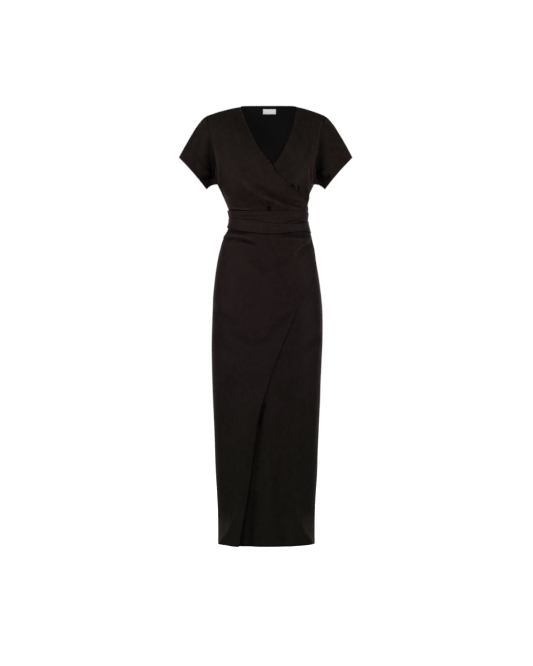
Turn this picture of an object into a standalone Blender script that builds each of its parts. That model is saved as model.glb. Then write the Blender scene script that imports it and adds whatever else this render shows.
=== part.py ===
"""Wrap dress with short sleeves, a crossed V neck, a folded waist sash and a long wrap skirt.

The dress is filled out as if worn, with nobody in it. +Z is up, the front faces -Y, and the
origin is the level of the high shoulder points, where the wearer's shoulders carry it.

Every cloth piece is a stretch of one body form, given by an angle round the body and a height.
Angle 0 is the centre front, 90 degrees the side at +X and 180 degrees the centre back.
"""

import math
from collections import namedtuple

import bmesh
import bpy
import numpy as np

# ---- Driving dimensions, in metres -------------------------------------------------------

GARMENT_LENGTH = 1.387  # high shoulder point to hem
WAIST_SEAM = -0.365  # height of the seam under the sash
UNDERARM = -0.2506  # height where the sleeve and the side seam meet

CLOTH = 0.0012  # wall thickness
SIDE_SEAM = 0.0010  # gap along a side seam
SHOULDER_SEAM = 0.0018  # gap along a shoulder seam
ARMHOLE_SEAM = 0.0007  # gap round an armhole
WAIST_GAP = 0.0004  # gap along the waist seam

OVER_LAP = 0.0032  # how far the outer wrap front stands out from the inner one
UNDER_TUCK = 0.0025  # how far the inner wrap front sinks where it is covered
TUCK_ANGLE = 22.0  # degrees in which it does so
LAP_ANGLE = 12.0  # degrees in which the outer front rises from its side seam

MIDDLE_OF_SHOULDERS = -0.0041
NECK_LEFT = -0.0868  # high shoulder points
NECK_RIGHT = 0.0954
NECK_RISE = 0.0115  # how far the back neck stands above them
NECK_DEPTH = 0.058  # how far the back neck lies behind them
SHOULDER_Y = 0.004  # the shoulder seam lies this far behind the axis
SHOULDER_X = 0.1885  # shoulder point, from the middle of the shoulders
SHOULDER_DROP = 0.028  # and how far it lies below the high shoulder point
SHOULDER_CURVE = 1.4
ROUND_FROM = 0.090  # between these distances from the middle, chest turns into round shoulder
ROUND_TO = 0.180

BUST_ANGLE = 36.0  # degrees from the centre front
BUST_HEIGHT = -0.258
BUST_FULLNESS = 0.013
BUST_SPREAD = (24.0, 0.055)  # degrees round, metres up and down

LABEL_MIDDLE = (0.008, -0.0068)  # across and up
LABEL_SIZE = (0.042, 0.0164)
LABEL_THICKNESS = 0.0006
LABEL_CLEAR = 0.0011  # gap behind the label

ARC_RADIUS = 0.14  # metres of cloth for each radian, used to measure folds

# ---- Tables ------------------------------------------------------------------------------

Section = namedtuple("Section", "height shift half front back")
BODY = [
    # hem to waist
    Section(-GARMENT_LENGTH, -0.0010, 0.1520, 0.1100, 0.1080),
    Section(-1.281, -0.0010, 0.1543, 0.1100, 0.1090),
    Section(-1.186, -0.0011, 0.1598, 0.1120, 0.1110),
    Section(-1.058, -0.0008, 0.1646, 0.1140, 0.1140),
    Section(-0.931, -0.0010, 0.1698, 0.1170, 0.1180),
    Section(-0.804, -0.0005, 0.1743, 0.1200, 0.1240),
    Section(-0.724, 0.0014, 0.1758, 0.1210, 0.1290),
    Section(-0.645, 0.0018, 0.1740, 0.1200, 0.1330),
    Section(-0.581, 0.0011, 0.1692, 0.1170, 0.1310),
    Section(-0.518, 0.0000, 0.1608, 0.1130, 0.1210),
    Section(-0.454, 0.0002, 0.1488, 0.1060, 0.1050),
    Section(-0.416, 0.0014, 0.1380, 0.0995, 0.0940),
    Section(-0.390, 0.0041, 0.1275, 0.0940, 0.0870),
    # waist to underarm
    Section(-0.365, 0.0049, 0.1212, 0.0905, 0.0830),
    Section(-0.327, 0.0034, 0.1250, 0.0955, 0.0880),
    Section(-0.3015, 0.0000, 0.1305, 0.1020, 0.0940),
    Section(-0.276, -0.0032, 0.1393, 0.1080, 0.1000),
    Section(-0.2506, -0.0037, 0.1512, 0.1100, 0.1050),
    # behind the armholes, up to the shoulders
    Section(-0.225, -0.0041, 0.1625, 0.1100, 0.1060),
    Section(-0.187, -0.0041, 0.1755, 0.1080, 0.1080),
    Section(-0.149, -0.0041, 0.1865, 0.1050, 0.1090),
    Section(-0.085, -0.0041, 0.2005, 0.1020, 0.1080),
    Section(0.000, -0.0041, 0.2120, 0.1000, 0.1050),
]

EdgePoint = namedtuple("EdgePoint", "height angle")
ARMHOLE_FRONT = [
    EdgePoint(-0.2465, 89.0),
    EdgePoint(-0.2450, 81.0),
    EdgePoint(-0.2400, 74.5),
    EdgePoint(-0.2320, 70.0),
    EdgePoint(-0.2220, 67.0),
    EdgePoint(-0.1950, 63.5),
    EdgePoint(-0.1450, 61.5),
    EdgePoint(-0.0700, 61.5),
    EdgePoint(0.0000, 62.8),
]
ARMHOLE_BACK = [
    EdgePoint(-0.2465, 89.0),
    EdgePoint(-0.2450, 82.0),
    EdgePoint(-0.2400, 77.0),
    EdgePoint(-0.2320, 73.5),
    EdgePoint(-0.2220, 71.5),
    EdgePoint(-0.1950, 69.0),
    EdgePoint(-0.1450, 67.5),
    EdgePoint(-0.0700, 66.5),
    EdgePoint(0.0000, 62.8),
]

FrontPoint = namedtuple("FrontPoint", "height across")
NECK_EDGE_OVER = [  # free edge of the outer bodice front
    FrontPoint(-0.3650, 0.1258),
    FrontPoint(-0.3400, 0.1270),
    FrontPoint(-0.3160, 0.1255),
    FrontPoint(-0.2978, 0.1178),
    FrontPoint(-0.2737, 0.0972),
    FrontPoint(-0.2558, 0.0773),
    FrontPoint(-0.2361, 0.0560),
    FrontPoint(-0.2132, 0.0345),
    FrontPoint(-0.1944, 0.0183),
    FrontPoint(-0.1766, 0.0025),
    FrontPoint(-0.1494, -0.0182),
    FrontPoint(-0.1172, -0.0368),
    FrontPoint(-0.0827, -0.0534),
    FrontPoint(0.0000, -0.0868),
]
NECK_EDGE_UNDER = [  # free edge of the inner bodice front, hidden below the crossing
    FrontPoint(-0.3650, -0.1130),
    FrontPoint(-0.3200, -0.1090),
    FrontPoint(-0.2880, -0.0830),
    FrontPoint(-0.2620, -0.0520),
    FrontPoint(-0.2340, -0.0170),
    FrontPoint(-0.1944, 0.0197),
    FrontPoint(-0.1726, 0.0354),
    FrontPoint(-0.1516, 0.0476),
    FrontPoint(-0.1256, 0.0604),
    FrontPoint(-0.0827, 0.0777),
    FrontPoint(0.0000, 0.0954),
]
SKIRT_EDGE_OVER = [  # free edge of the outer skirt front
    FrontPoint(-GARMENT_LENGTH, -0.0850),
    FrontPoint(-1.2870, -0.0681),
    FrontPoint(-1.1919, -0.0531),
    FrontPoint(-1.0769, -0.0381),
    FrontPoint(-0.9621, -0.0206),
    FrontPoint(-0.9083, -0.0063),
    FrontPoint(-0.8584, 0.0093),
    FrontPoint(-0.7960, 0.0312),
    FrontPoint(-0.7024, 0.0687),
    FrontPoint(-0.6272, 0.1002),
    FrontPoint(-0.5733, 0.1321),
    FrontPoint(-0.5478, 0.1433),
    FrontPoint(-0.5100, 0.1515),
    FrontPoint(-0.4600, 0.1480),
    FrontPoint(-0.4160, 0.1385),
    FrontPoint(-0.3650, 0.1258),
]
SKIRT_EDGE_UNDER = [  # free edge of the inner skirt front, hidden
    EdgePoint(-GARMENT_LENGTH, -66.0),
    EdgePoint(-0.365, -75.0),
]

Lift = namedtuple("Lift", "height stand_off")
SKIRT_EDGE_LIFT = [  # how far the free edge of the outer skirt front swings open
    Lift(-GARMENT_LENGTH, 0.0210),
    Lift(-1.320, 0.0140),
    Lift(-1.250, 0.0070),
    Lift(-1.150, 0.0065),
    Lift(-1.040, 0.0115),
    Lift(-0.960, 0.0100),
    Lift(-0.880, 0.0035),
    Lift(-0.780, 0.0005),
    Lift(-0.700, 0.0000),
    Lift(-0.365, 0.0000),
]
LIFT_ANGLE = 26.0  # degrees over which the lift fades away from the edge

Band = namedtuple("Band", "angle top fold bottom")
SASH = [
    Band(-180.0, -0.330, -0.362, -0.394),
    Band(-135.0, -0.329, -0.359, -0.390),
    Band(-90.0, -0.3281, -0.3539, -0.3857),
    Band(-60.0, -0.3306, -0.3568, -0.3890),
    Band(-40.0, -0.3327, -0.3601, -0.3978),
    Band(-20.0, -0.3348, -0.3655, -0.4044),
    Band(0.0, -0.3356, -0.3743, -0.4088),
    Band(20.0, -0.3352, -0.3765, -0.4063),
    Band(40.0, -0.3337, -0.3721, -0.4004),
    Band(60.0, -0.3341, -0.3672, -0.3979),
    Band(90.0, -0.3364, -0.3631, -0.4029),
    Band(135.0, -0.333, -0.362, -0.398),
    Band(180.0, -0.330, -0.362, -0.394),
]
SashRow = namedtuple("SashRow", "band share out")  # share of the way up its band
SASH_PROFILE = [
    SashRow("lower", 0.00, 0.0008),
    SashRow("lower", 0.12, 0.0018),
    SashRow("lower", 0.50, 0.0026),
    SashRow("lower", 0.88, 0.0022),
    SashRow("lower", 1.00, 0.0012),
    SashRow("upper", 0.10, 0.0002),
    SashRow("upper", 0.50, 0.0008),
    SashRow("upper", 0.90, 0.0005),
    SashRow("upper", 1.00, 0.0000),
]
SASH_CLEAR = 0.0009  # gap under the sash
SASH_LAP_START = -104.0  # angles between which the sash rides over two bodice fronts
SASH_LAP_END = 112.0
SASH_LAP_FADE = 14.0

Fold = namedtuple("Fold", "name start middle end width rise")  # points are (angle, height)
FOLDS = [
    Fold("hip_roll_left", (-118, -0.407), (-62, -0.4125), (-12, -0.436), 0.0075, 0.0065),
    Fold("hip_ridge_right", (100, -0.408), (50, -0.445), (32, -0.482), 0.0080, 0.0050),
    Fold("belly_trough_left", (-36, -0.465), (-9, -0.500), (6, -0.540), 0.0170, -0.0035),
    Fold("belly_trough_right", (38, -0.462), (16, -0.498), (5, -0.536), 0.0170, -0.0030),
    Fold("bodice_ridge", (-36, -0.215), (-3, -0.293), (32, -0.332), 0.0130, 0.0045),
    Fold("bodice_trough", (-20, -0.240), (6, -0.288), (42, -0.302), 0.0110, -0.0035),
    Fold("bodice_tuck", (5, -0.294), (3, -0.312), (1, -0.333), 0.0080, -0.0040),
    Fold("inner_tuck", (44, -0.240), (46, -0.262), (48, -0.290), 0.0080, -0.0030),
    Fold("waist_roll_left", (-72, -0.306), (-42, -0.317), (-14, -0.320), 0.0070, 0.0030),
    Fold("armhole_ridge_left", (-60, -0.242), (-56, -0.150), (-57, -0.020), 0.0080, 0.0050),
    Fold("armhole_ridge_right", (60, -0.242), (56, -0.150), (57, -0.020), 0.0080, 0.0050),
    Fold("hem_fold_left", (-34, -1.240), (-50, -1.325), (-70, -1.420), 0.0170, 0.0060),
    Fold("hem_fold_right", (38, -1.240), (53, -1.325), (72, -1.420), 0.0170, 0.0060),
]
FOLD_STEPS = 17
FOLD_TAPER = 0.28  # share of a fold's length in which each end dies away

SleeveLoop = namedtuple("SleeveLoop", "across back height")
SLEEVE_HEM_TOP = SleeveLoop(0.2758, 0.004, -0.1596)  # from the middle of the shoulders
SLEEVE_HEM_BOTTOM = SleeveLoop(0.1884, 0.004, -0.2612)
SLEEVE_HEM_DEPTH = 0.054  # half of the opening, front to back
SLEEVE_BULGE = {  # how far the middle of the sleeve leaves the straight line
    "top": SleeveLoop(-0.0180, 0.0000, 0.0546),
    "front": SleeveLoop(0.0000, 0.0150, 0.0080),
    "bottom": SleeveLoop(0.0000, 0.0000, 0.0105),
    "back": SleeveLoop(0.0000, 0.0020, 0.0100),
}
SLEEVE_ROWS = 6

# Heights of the rings of points, hem to waist and waist to shoulder.
SKIRT_ROWS = np.array(
    [-GARMENT_LENGTH, -1.330, -1.270, -1.200, -1.120, -1.030, -0.940, -0.860, -0.790]
    + [-0.730, -0.680, -0.640, -0.610, -0.585, -0.560, -0.535, -0.510, -0.485]
    + [-0.463, -0.445, -0.431, -0.4205, -0.4125, -0.4045, -0.396, -0.383]
    + [WAIST_SEAM - WAIST_GAP / 2]
)
BODICE_ROWS_LOW = np.array(
    [WAIST_SEAM + WAIST_GAP / 2, -0.350, -0.337, -0.3265, -0.3165]
    + [-0.3065, -0.2975, -0.289, -0.280, -0.271, -0.260]
)
ARMHOLE_ROWS = np.array(
    [-0.2465, -0.2435, -0.238, -0.228, -0.210, -0.180, -0.140, -0.100, -0.068]
    + [-0.040, -0.020, -0.008, 0.0]
)
BODICE_ROWS = np.concatenate([BODICE_ROWS_LOW, ARMHOLE_ROWS])

COLUMNS = {
    "skirt_front_outer": 22,
    "skirt_front_inner": 17,
    "skirt_back": 14,
    "bodice_front_outer": 19,
    "bodice_front_inner": 14,
    "bodice_back": 16,
    "sash": 40,
}

CLOTH_COLOUR = (0.0085, 0.0062, 0.0056, 1.0)
LABEL_COLOUR = (0.80, 0.80, 0.78, 1.0)


# ---- The body form -----------------------------------------------------------------------


def smooth(rows, key, column, at):
    """The table's column at these values of its key, on a smooth curve through the rows."""
    xs = np.array([getattr(row, key) for row in rows])
    ys = np.array([getattr(row, column) for row in rows])
    slopes = np.gradient(ys, xs)
    at = np.clip(at, xs[0], xs[-1])
    i = np.clip(np.searchsorted(xs, at) - 1, 0, len(xs) - 2)
    step = xs[i + 1] - xs[i]
    t = (at - xs[i]) / step
    rise = ys[i + 1] - ys[i]
    bend_in = slopes[i] * step - rise
    bend_out = rise - slopes[i + 1] * step
    return ys[i] + t * rise + t * (1 - t) * ((1 - t) * bend_in + t * bend_out)


def ease(t):
    """0 to 1, level at both ends."""
    t = np.clip(t, 0.0, 1.0)
    return t * t * (3 - 2 * t)


def top_line(x, behind):
    """(y, z) of the shoulder seam at x and, behind, of the back neck between its ends."""
    middle = (NECK_LEFT + NECK_RIGHT) / 2
    inside = np.clip(1 - ((x - middle) / ((NECK_RIGHT - NECK_LEFT) / 2)) ** 2, 0, 1)
    left = (NECK_LEFT - x) / (NECK_LEFT - MIDDLE_OF_SHOULDERS + SHOULDER_X)
    right = (x - NECK_RIGHT) / (MIDDLE_OF_SHOULDERS + SHOULDER_X - NECK_RIGHT)
    drop = SHOULDER_DROP * np.clip(np.maximum(left, right), 0, 1.2) ** SHOULDER_CURVE
    y = SHOULDER_Y + np.where(behind, NECK_DEPTH * inside**0.7, 0.0)
    z = np.where(behind, NECK_RISE * inside**0.6, 0.0) - drop
    return y, z, np.where(behind, inside, 0.0)


def body_form(angle, height):
    """Points of the plain body form, at angles in degrees and heights in metres."""
    turn = np.radians(angle)
    front_side = np.cos(turn) > 0
    half = smooth(BODY, "height", "half", height)
    x = smooth(BODY, "height", "shift", height) + half * np.sin(turn)
    front = smooth(BODY, "height", "front", height)
    back = smooth(BODY, "height", "back", height)
    y = -np.cos(turn) * np.where(front_side, front, back)
    spread_angle, spread_height = BUST_SPREAD
    for side in (-1, 1):
        round_it = np.exp(-(((angle - side * BUST_ANGLE) / spread_angle) ** 2))
        up_it = np.exp(-(((height - BUST_HEIGHT) / spread_height) ** 2))
        y = y - BUST_FULLNESS * round_it * up_it * front_side
    # Above the underarm the form closes to the shoulder seams and the back neck.
    t = np.clip((height - UNDERARM) / -UNDERARM, 0.0, 1.0)
    top_y, top_z, in_neck = top_line(x, ~front_side)
    chest = np.where(front_side, (1 - t**2.2) ** 0.62, (1 - t**2.8) ** 0.60)
    rounded = (1 - t**3.4) ** 0.52
    outward = ease((np.abs(x - MIDDLE_OF_SHOULDERS) - ROUND_FROM) / (ROUND_TO - ROUND_FROM))
    over_shoulder = chest * (1 - outward) + rounded * outward
    keep = over_shoulder * (1 - in_neck) + (1 - t**2) * in_neck
    y = top_y * (1 - keep) + y * keep
    y = y + np.where(front_side, -t, t) * SHOULDER_SEAM / 2
    z = np.where(height < UNDERARM, height, UNDERARM + t * (top_z - UNDERARM))
    return np.stack([x, y, z], axis=-1)


def folds_at(angle, height):
    """How far the folds push the cloth out, or pull it in."""
    total = np.zeros(np.shape(angle))
    here = np.stack([np.radians(angle) * ARC_RADIUS, height], axis=-1)
    along = np.linspace(0, 1, FOLD_STEPS)[:, None]
    fade = ease(along[:, 0] / FOLD_TAPER) * ease((1 - along[:, 0]) / FOLD_TAPER)
    for fold in FOLDS:
        points = np.array([fold.start, fold.middle, fold.end], float)
        points[:, 0] = np.radians(points[:, 0]) * ARC_RADIUS
        start, middle, end = points
        pull = 2 * middle - (start + end) / 2
        path = (1 - along) ** 2 * start + 2 * along * (1 - along) * pull + along**2 * end
        away = np.linalg.norm(here[..., None, :] - path, axis=-1)
        total += fold.rise * (fade * np.exp(-((away / fold.width) ** 2))).max(axis=-1)
    return total


def cloth_at(angle, height, out=0.0):
    """Points of the cloth's outer face, this far out from the folded body form."""
    nudge = 1e-4
    here = body_form(angle, height)
    across = body_form(angle + math.degrees(nudge), height) - here
    up = here - body_form(angle, height - nudge)
    normal = np.cross(across, up)
    normal /= np.linalg.norm(normal, axis=-1, keepdims=True)
    signed = (np.asarray(angle) + 180.0) % 360.0 - 180.0
    push = folds_at(signed, height) + out
    return here + normal * np.asarray(push)[..., None]


def angle_of(points, heights):
    """The angles of a free edge whose table gives its distance across the front."""
    across = smooth(points, "height", "across", heights)
    shift = smooth(BODY, "height", "shift", heights)
    half = smooth(BODY, "height", "half", heights)
    return np.degrees(np.arcsin(np.clip((across - shift) / half, -0.9995, 0.9995)))


# ---- Making cloth ------------------------------------------------------------------------


def material(name, colour, roughness):
    made = bpy.data.materials.new(name)
    made.use_nodes = True
    shader = made.node_tree.nodes["Principled BSDF"]
    shader.inputs["Base Color"].default_value = colour
    shader.inputs["Roughness"].default_value = roughness
    shader.inputs["Metallic"].default_value = 0.0
    return made


def sheet(name, columns, rows, place, finish, thickness=CLOTH, closed=False):
    """A wall of cloth. place turns two arrays, across and up from 0 to 1, into points."""
    bm = bmesh.new()
    bmesh.ops.create_grid(bm, x_segments=columns, y_segments=rows, size=0.5)
    bm.verts.ensure_lookup_table()
    grid = np.array([vert.co[:2] for vert in bm.verts]) + 0.5
    for vert, point in zip(bm.verts, place(grid[:, 0], grid[:, 1])):
        vert.co = point
    if closed:
        bmesh.ops.remove_doubles(bm, verts=bm.verts, dist=1e-5)
    mesh = bpy.data.meshes.new(name)
    bm.to_mesh(mesh)
    bm.free()
    mesh.shade_smooth()
    mesh.materials.append(finish)
    made = bpy.data.objects.new(name, mesh)
    DRESS.objects.link(made)
    wall = made.modifiers.new("cloth", "SOLIDIFY")
    wall.thickness = thickness
    wall.offset = -1.0
    return made


def panel(name, rows, left, right, out, finish):
    """A body panel. left and right give its edges' angles at its rows, and out its layer."""
    left_angles, right_angles = left(rows), right(rows)

    def place(across, up):
        row = np.rint(up * (len(rows) - 1)).astype(int)
        first, last = left_angles[row], right_angles[row]
        angle = first + across * (last - first)
        return cloth_at(angle, rows[row], out(angle, rows[row], first, last))

    return sheet(name, COLUMNS[name], len(rows) - 1, place, finish)


def side_edge(angle, inward):
    """An edge down a side seam, half the seam's gap inward from it."""

    def edge(heights):
        half = smooth(BODY, "height", "half", heights)
        return angle + inward * np.degrees(SIDE_SEAM / 2 / half)

    return edge


def side_and_armhole(table, side, behind=False):
    """A bodice edge: up the side seam, then up the armhole to the shoulder seam."""
    seam = side_edge(side * 90.0, -side if not behind else side)

    def edge(heights):
        armhole = side * smooth(table, "height", "angle", heights)
        if behind:
            armhole = side * 180.0 - armhole
        return np.where(heights < ARMHOLE_ROWS[0], seam(heights), armhole)

    return edge


def free_edge(table):
    return lambda heights: angle_of(table, heights)


# ---- The pieces --------------------------------------------------------------------------


def on_the_form(angle, height, first, last):
    return np.zeros(len(angle))


def outer_bodice_layer(angle, height, first, last):
    """The outer front leaves its side seam, armhole and shoulder seam and laps the inner."""
    from_seam = ease((angle - first) / LAP_ANGLE)
    from_shoulder = ease(height / (0.12 * UNDERARM))
    return OVER_LAP * from_seam * from_shoulder


def outer_skirt_layer(angle, height, first, last):
    lap = OVER_LAP * ease((angle - first) / LAP_ANGLE)
    lift = smooth(SKIRT_EDGE_LIFT, "height", "stand_off", height)
    return lap + lift * ease(1 - (last - angle) / LIFT_ANGLE)


def tucked_under(table):
    """The inner front sinks a little where the outer one, with this edge, covers it."""

    def layer(angle, height, first, last):
        covered = angle_of(table, height) - angle
        return -UNDER_TUCK * ease(covered / TUCK_ANGLE)

    return layer


def skirt(finish):
    panel(
        "skirt_front_outer",
        SKIRT_ROWS,
        side_edge(-90.0, 1),
        free_edge(SKIRT_EDGE_OVER),
        outer_skirt_layer,
        finish,
    )
    panel(
        "skirt_front_inner",
        SKIRT_ROWS,
        lambda heights: smooth(SKIRT_EDGE_UNDER, "height", "angle", heights),
        side_edge(90.0, -1),
        tucked_under(SKIRT_EDGE_OVER),
        finish,
    )
    panel(
        "skirt_back",
        SKIRT_ROWS,
        side_edge(90.0, 1),
        side_edge(270.0, -1),
        on_the_form,
        finish,
    )


def bodice(finish):
    panel(
        "bodice_front_outer",
        BODICE_ROWS,
        side_and_armhole(ARMHOLE_FRONT, -1),
        free_edge(NECK_EDGE_OVER),
        outer_bodice_layer,
        finish,
    )
    panel(
        "bodice_front_inner",
        BODICE_ROWS,
        free_edge(NECK_EDGE_UNDER),
        side_and_armhole(ARMHOLE_FRONT, 1),
        tucked_under(NECK_EDGE_OVER),
        finish,
    )
    back_right = side_and_armhole(ARMHOLE_BACK, 1, behind=True)
    back_left = side_and_armhole(ARMHOLE_BACK, -1, behind=True)
    panel(
        "bodice_back",
        BODICE_ROWS,
        back_right,
        lambda heights: back_left(heights) + 360.0,
        on_the_form,
        finish,
    )


def sleeve(name, side, finish):
    """A set-in sleeve: side is -1 or 1. Its loops run from the armhole to the sleeve hem."""
    rows = len(ARMHOLE_ROWS) - 1
    top, bottom = np.array(SLEEVE_HEM_TOP), np.array(SLEEVE_HEM_BOTTOM)
    bulges = {where: np.array(size) for where, size in SLEEVE_BULGE.items()}

    def armhole_point(step):
        """Down the front of the armhole from the shoulder, and up its back."""
        behind = step > rows
        heights = ARMHOLE_ROWS[np.where(behind, step - rows, rows - step)]
        front = smooth(ARMHOLE_FRONT, "height", "angle", heights)
        back = 180.0 - smooth(ARMHOLE_BACK, "height", "angle", heights)
        points = cloth_at(side * np.where(behind, back, front), heights)
        points[:, 0] = side * (points[:, 0] - MIDDLE_OF_SHOULDERS)
        return points

    def place(along, around):
        if side > 0:
            around = 1 - around
        step = np.rint(around * 2 * rows).astype(int)
        step[step == 2 * rows] = 0
        start = armhole_point(step)
        turn = 2 * np.pi * step / (2 * rows)
        up, forward = np.cos(turn)[:, None], np.sin(turn)[:, None]
        hem = (top + bottom) / 2 + (top - bottom) / 2 * up
        hem[:, 1] -= SLEEVE_HEM_DEPTH * forward[:, 0]
        bulge = (
            bulges["top"] * np.clip(up, 0, 1) ** 1.5
            + bulges["bottom"] * np.clip(-up, 0, 1) ** 1.5
            + bulges["front"] * np.clip(forward, 0, 1) ** 1.5
            + bulges["back"] * np.clip(-forward, 0, 1) ** 1.5
        )
        middle = (start + hem) / 2 + bulge
        away = middle - start
        start = start + away / np.linalg.norm(away, axis=1, keepdims=True) * ARMHOLE_SEAM
        s = along[:, None]
        points = (1 - s) ** 2 * start + 2 * s * (1 - s) * middle + s**2 * hem
        points[:, 0] = MIDDLE_OF_SHOULDERS + side * points[:, 0]
        return points

    return sheet(name, SLEEVE_ROWS, 2 * rows, place, finish, closed=True)


def sash(finish):
    """The sash: one soft band round the waist, with a fold along it."""

    def place(across, up):
        angle = -180.0 + 360.0 * across
        row = np.rint(up * (len(SASH_PROFILE) - 1)).astype(int)
        top, fold, bottom = (
            smooth(SASH, "angle", column, angle) for column in ("top", "fold", "bottom")
        )
        lower = np.array([r.band == "lower" for r in SASH_PROFILE])[row]
        share = np.array([r.share for r in SASH_PROFILE])[row]
        low, high = np.where(lower, bottom, fold), np.where(lower, fold, top)
        over_fronts = ease((angle - SASH_LAP_START) / SASH_LAP_FADE) * ease(
            (SASH_LAP_END - angle) / SASH_LAP_FADE
        )
        out = CLOTH + SASH_CLEAR + OVER_LAP * over_fronts
        out = out + np.array([r.out for r in SASH_PROFILE])[row]
        return cloth_at(angle, low + share * (high - low), out)

    return sheet(
        "sash", COLUMNS["sash"], len(SASH_PROFILE) - 1, place, finish, closed=True
    )


def neck_label(finish):
    """A blank woven label on the inside of the back neck."""

    def place(across, up):
        x = LABEL_MIDDLE[0] + (0.5 - across) * LABEL_SIZE[0]
        z = LABEL_MIDDLE[1] + (up - 0.5) * LABEL_SIZE[1]
        _, neck_z, _ = top_line(x, True)
        height = UNDERARM * (1 - (z - UNDERARM) / (neck_z - UNDERARM))
        shift = smooth(BODY, "height", "shift", height)
        half = smooth(BODY, "height", "half", height)
        angle = 180.0 - np.degrees(np.arcsin((x - shift) / half))
        return cloth_at(angle, height, -(CLOTH + LABEL_CLEAR))

    return sheet("neck_label", 4, 2, place, finish, thickness=LABEL_THICKNESS)


def clear_scene():
    for old in list(bpy.data.objects):
        bpy.data.objects.remove(old)


def build():
    cloth = material("sandwashed_satin", CLOTH_COLOUR, 0.62)
    white = material("woven_label", LABEL_COLOUR, 0.80)
    skirt(cloth)
    bodice(cloth)
    sleeve("sleeve_left", -1, cloth)
    sleeve("sleeve_right", 1, cloth)
    sash(cloth)
    neck_label(white)


clear_scene()
DRESS = bpy.data.collections.new("wrap_dress")
bpy.context.scene.collection.children.link(DRESS)
build()
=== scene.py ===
"""A long wrap dress in sand-washed satin: its cloth, folds, seams, stitches and stage.

The dress is filled out as if worn, with nobody in it. +Z is up and its front faces -Y. Every
cloth piece is a stretch of one body form, given by an angle round the body and a height: angle
0 is the centre front, 90 degrees the side at +X and 180 degrees the centre back.
"""

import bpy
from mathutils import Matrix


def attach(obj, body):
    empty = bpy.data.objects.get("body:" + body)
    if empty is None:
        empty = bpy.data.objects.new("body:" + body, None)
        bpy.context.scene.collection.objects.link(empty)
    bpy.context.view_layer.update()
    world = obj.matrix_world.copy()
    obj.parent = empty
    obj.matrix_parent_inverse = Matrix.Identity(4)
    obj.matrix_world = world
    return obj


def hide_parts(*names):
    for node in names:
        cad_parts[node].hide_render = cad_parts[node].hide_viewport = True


bl_info = {
    "name": "Wrap Dress",
    "version": (1, 0, 0),
    "blender": (4, 5, 0),
    "location": "3D View > Sidebar > Wrap Dress",
    "description": "Sews a long wrap dress with its folds, seams and stitches",
    "category": "Object",
}

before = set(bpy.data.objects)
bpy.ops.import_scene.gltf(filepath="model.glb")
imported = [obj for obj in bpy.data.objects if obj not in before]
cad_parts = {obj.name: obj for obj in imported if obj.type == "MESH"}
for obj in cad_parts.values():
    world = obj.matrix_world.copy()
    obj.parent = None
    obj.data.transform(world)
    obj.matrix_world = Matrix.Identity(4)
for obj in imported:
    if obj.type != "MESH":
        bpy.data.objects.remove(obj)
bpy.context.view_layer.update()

import math
from collections import namedtuple

import bmesh
import bpy
import numpy as np
from mathutils import Matrix, Vector, noise

BODY = "root"
CLOTH_SLOT = "dress_cloth"
LABEL_SLOT = "neck_label"


def linear(hex_colour):
    """An sRGB hex colour as the linear red, green and blue that a shader takes."""
    digits = hex_colour.lstrip("#")
    channels = [int(digits[i : i + 2], 16) / 255 for i in (0, 2, 4)]
    return tuple(c / 12.92 if c <= 0.04045 else ((c + 0.055) / 1.055) ** 2.4 for c in channels)


# ---- What a user would change ------------------------------------------------------------


def length(name, description, default):
    return bpy.props.FloatProperty(
        name=name, description=description, default=default, min=0.0, precision=4, unit="LENGTH"
    )


def colour(name, description, default):
    settings = {"size": 3, "min": 0.0, "max": 1.0, "subtype": "COLOR"}
    return bpy.props.FloatVectorProperty(
        name=name, description=description, default=linear(default), **settings
    )


class DressSizes(bpy.types.PropertyGroup):
    """Sizes of the sewing. The dress itself keeps the sizes of its solids."""

    cloth: length("Cloth", "Thickness of the cloth with its seam allowances", 0.0006)
    turned_edge: length("Turned edge", "Width of the doubled cloth at a free edge", 0.009)
    hem: length("Hem", "Depth of the skirt's hem", 0.022)
    sleeve_hem: length("Sleeve hem", "Depth of the sleeves' hems", 0.018)
    stitch: length("Stitch", "Length of one stitch with its gap", 0.0032)
    thread: length("Thread", "Thickness of the sewing thread", 0.00045)
    above_floor: length("Above the floor", "Height of the hem above the floor", 0.10)


class DressColours(bpy.types.PropertyGroup):
    """Colours of the cloth, the sewing and the stage."""

    cloth: colour("Cloth", "Face of the cloth at the waist", "#241a19")
    cloth_shoulders: colour("Shoulders", "Face of the cloth at the shoulders", "#201a17")
    # The thighs and low down are darker, which is painted shade.
    cloth_thighs: colour("Thighs", "Face of the cloth at the thighs", "#211719")
    cloth_low: colour("Low down", "Face of the cloth towards the hem", "#171511")
    inside: colour("Inside", "Wrong side of the cloth", "#1e1b1d")
    thread: colour("Thread", "Sewing thread", "#1a1412")
    label: colour("Label", "Blank neck label", "#f4f3ef")
    floor: colour("Floor", "Floor", "#f7f7f7")


# ---- The dress's shape, in metres --------------------------------------------------------

GARMENT_LENGTH = 1.387  # high shoulder point to hem
WAIST_SEAM = -0.365
UNDERARM = -0.2506
SEAM = -0.00005  # half of the gap at a sewn seam, where the cloth meets

OVER_LAP = 0.0032  # how far the outer wrap front stands out from the inner one
UNDER_TUCK = 0.0025  # how far the inner wrap front sinks where it is covered
TUCK_ANGLE = 22.0
LAP_ANGLE = 12.0

MIDDLE_OF_SHOULDERS = -0.0041
NECK_LEFT = -0.0868
NECK_RIGHT = 0.0954
NECK_RISE = 0.0115
NECK_DEPTH = 0.058
SHOULDER_Y = 0.004
SHOULDER_X = 0.1885
SHOULDER_DROP = 0.028
SHOULDER_CURVE = 1.4
SHOULDER_SHARE = 0.12  # of the armhole's depth, over which the outer front comes to its seam
NECK_CURVES = (0.7, 0.4)  # how fast the back neck goes back and up from its ends
ROUND_FROM = 0.090
ROUND_TO = 0.180
# Powers p and q of (1 - t^p)^q, which closes the form from the underarm to the shoulder.
CHEST_FRONT, CHEST_BACK, ROUNDED = (2.2, 0.62), (2.8, 0.60), (3.4, 0.52)

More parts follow.
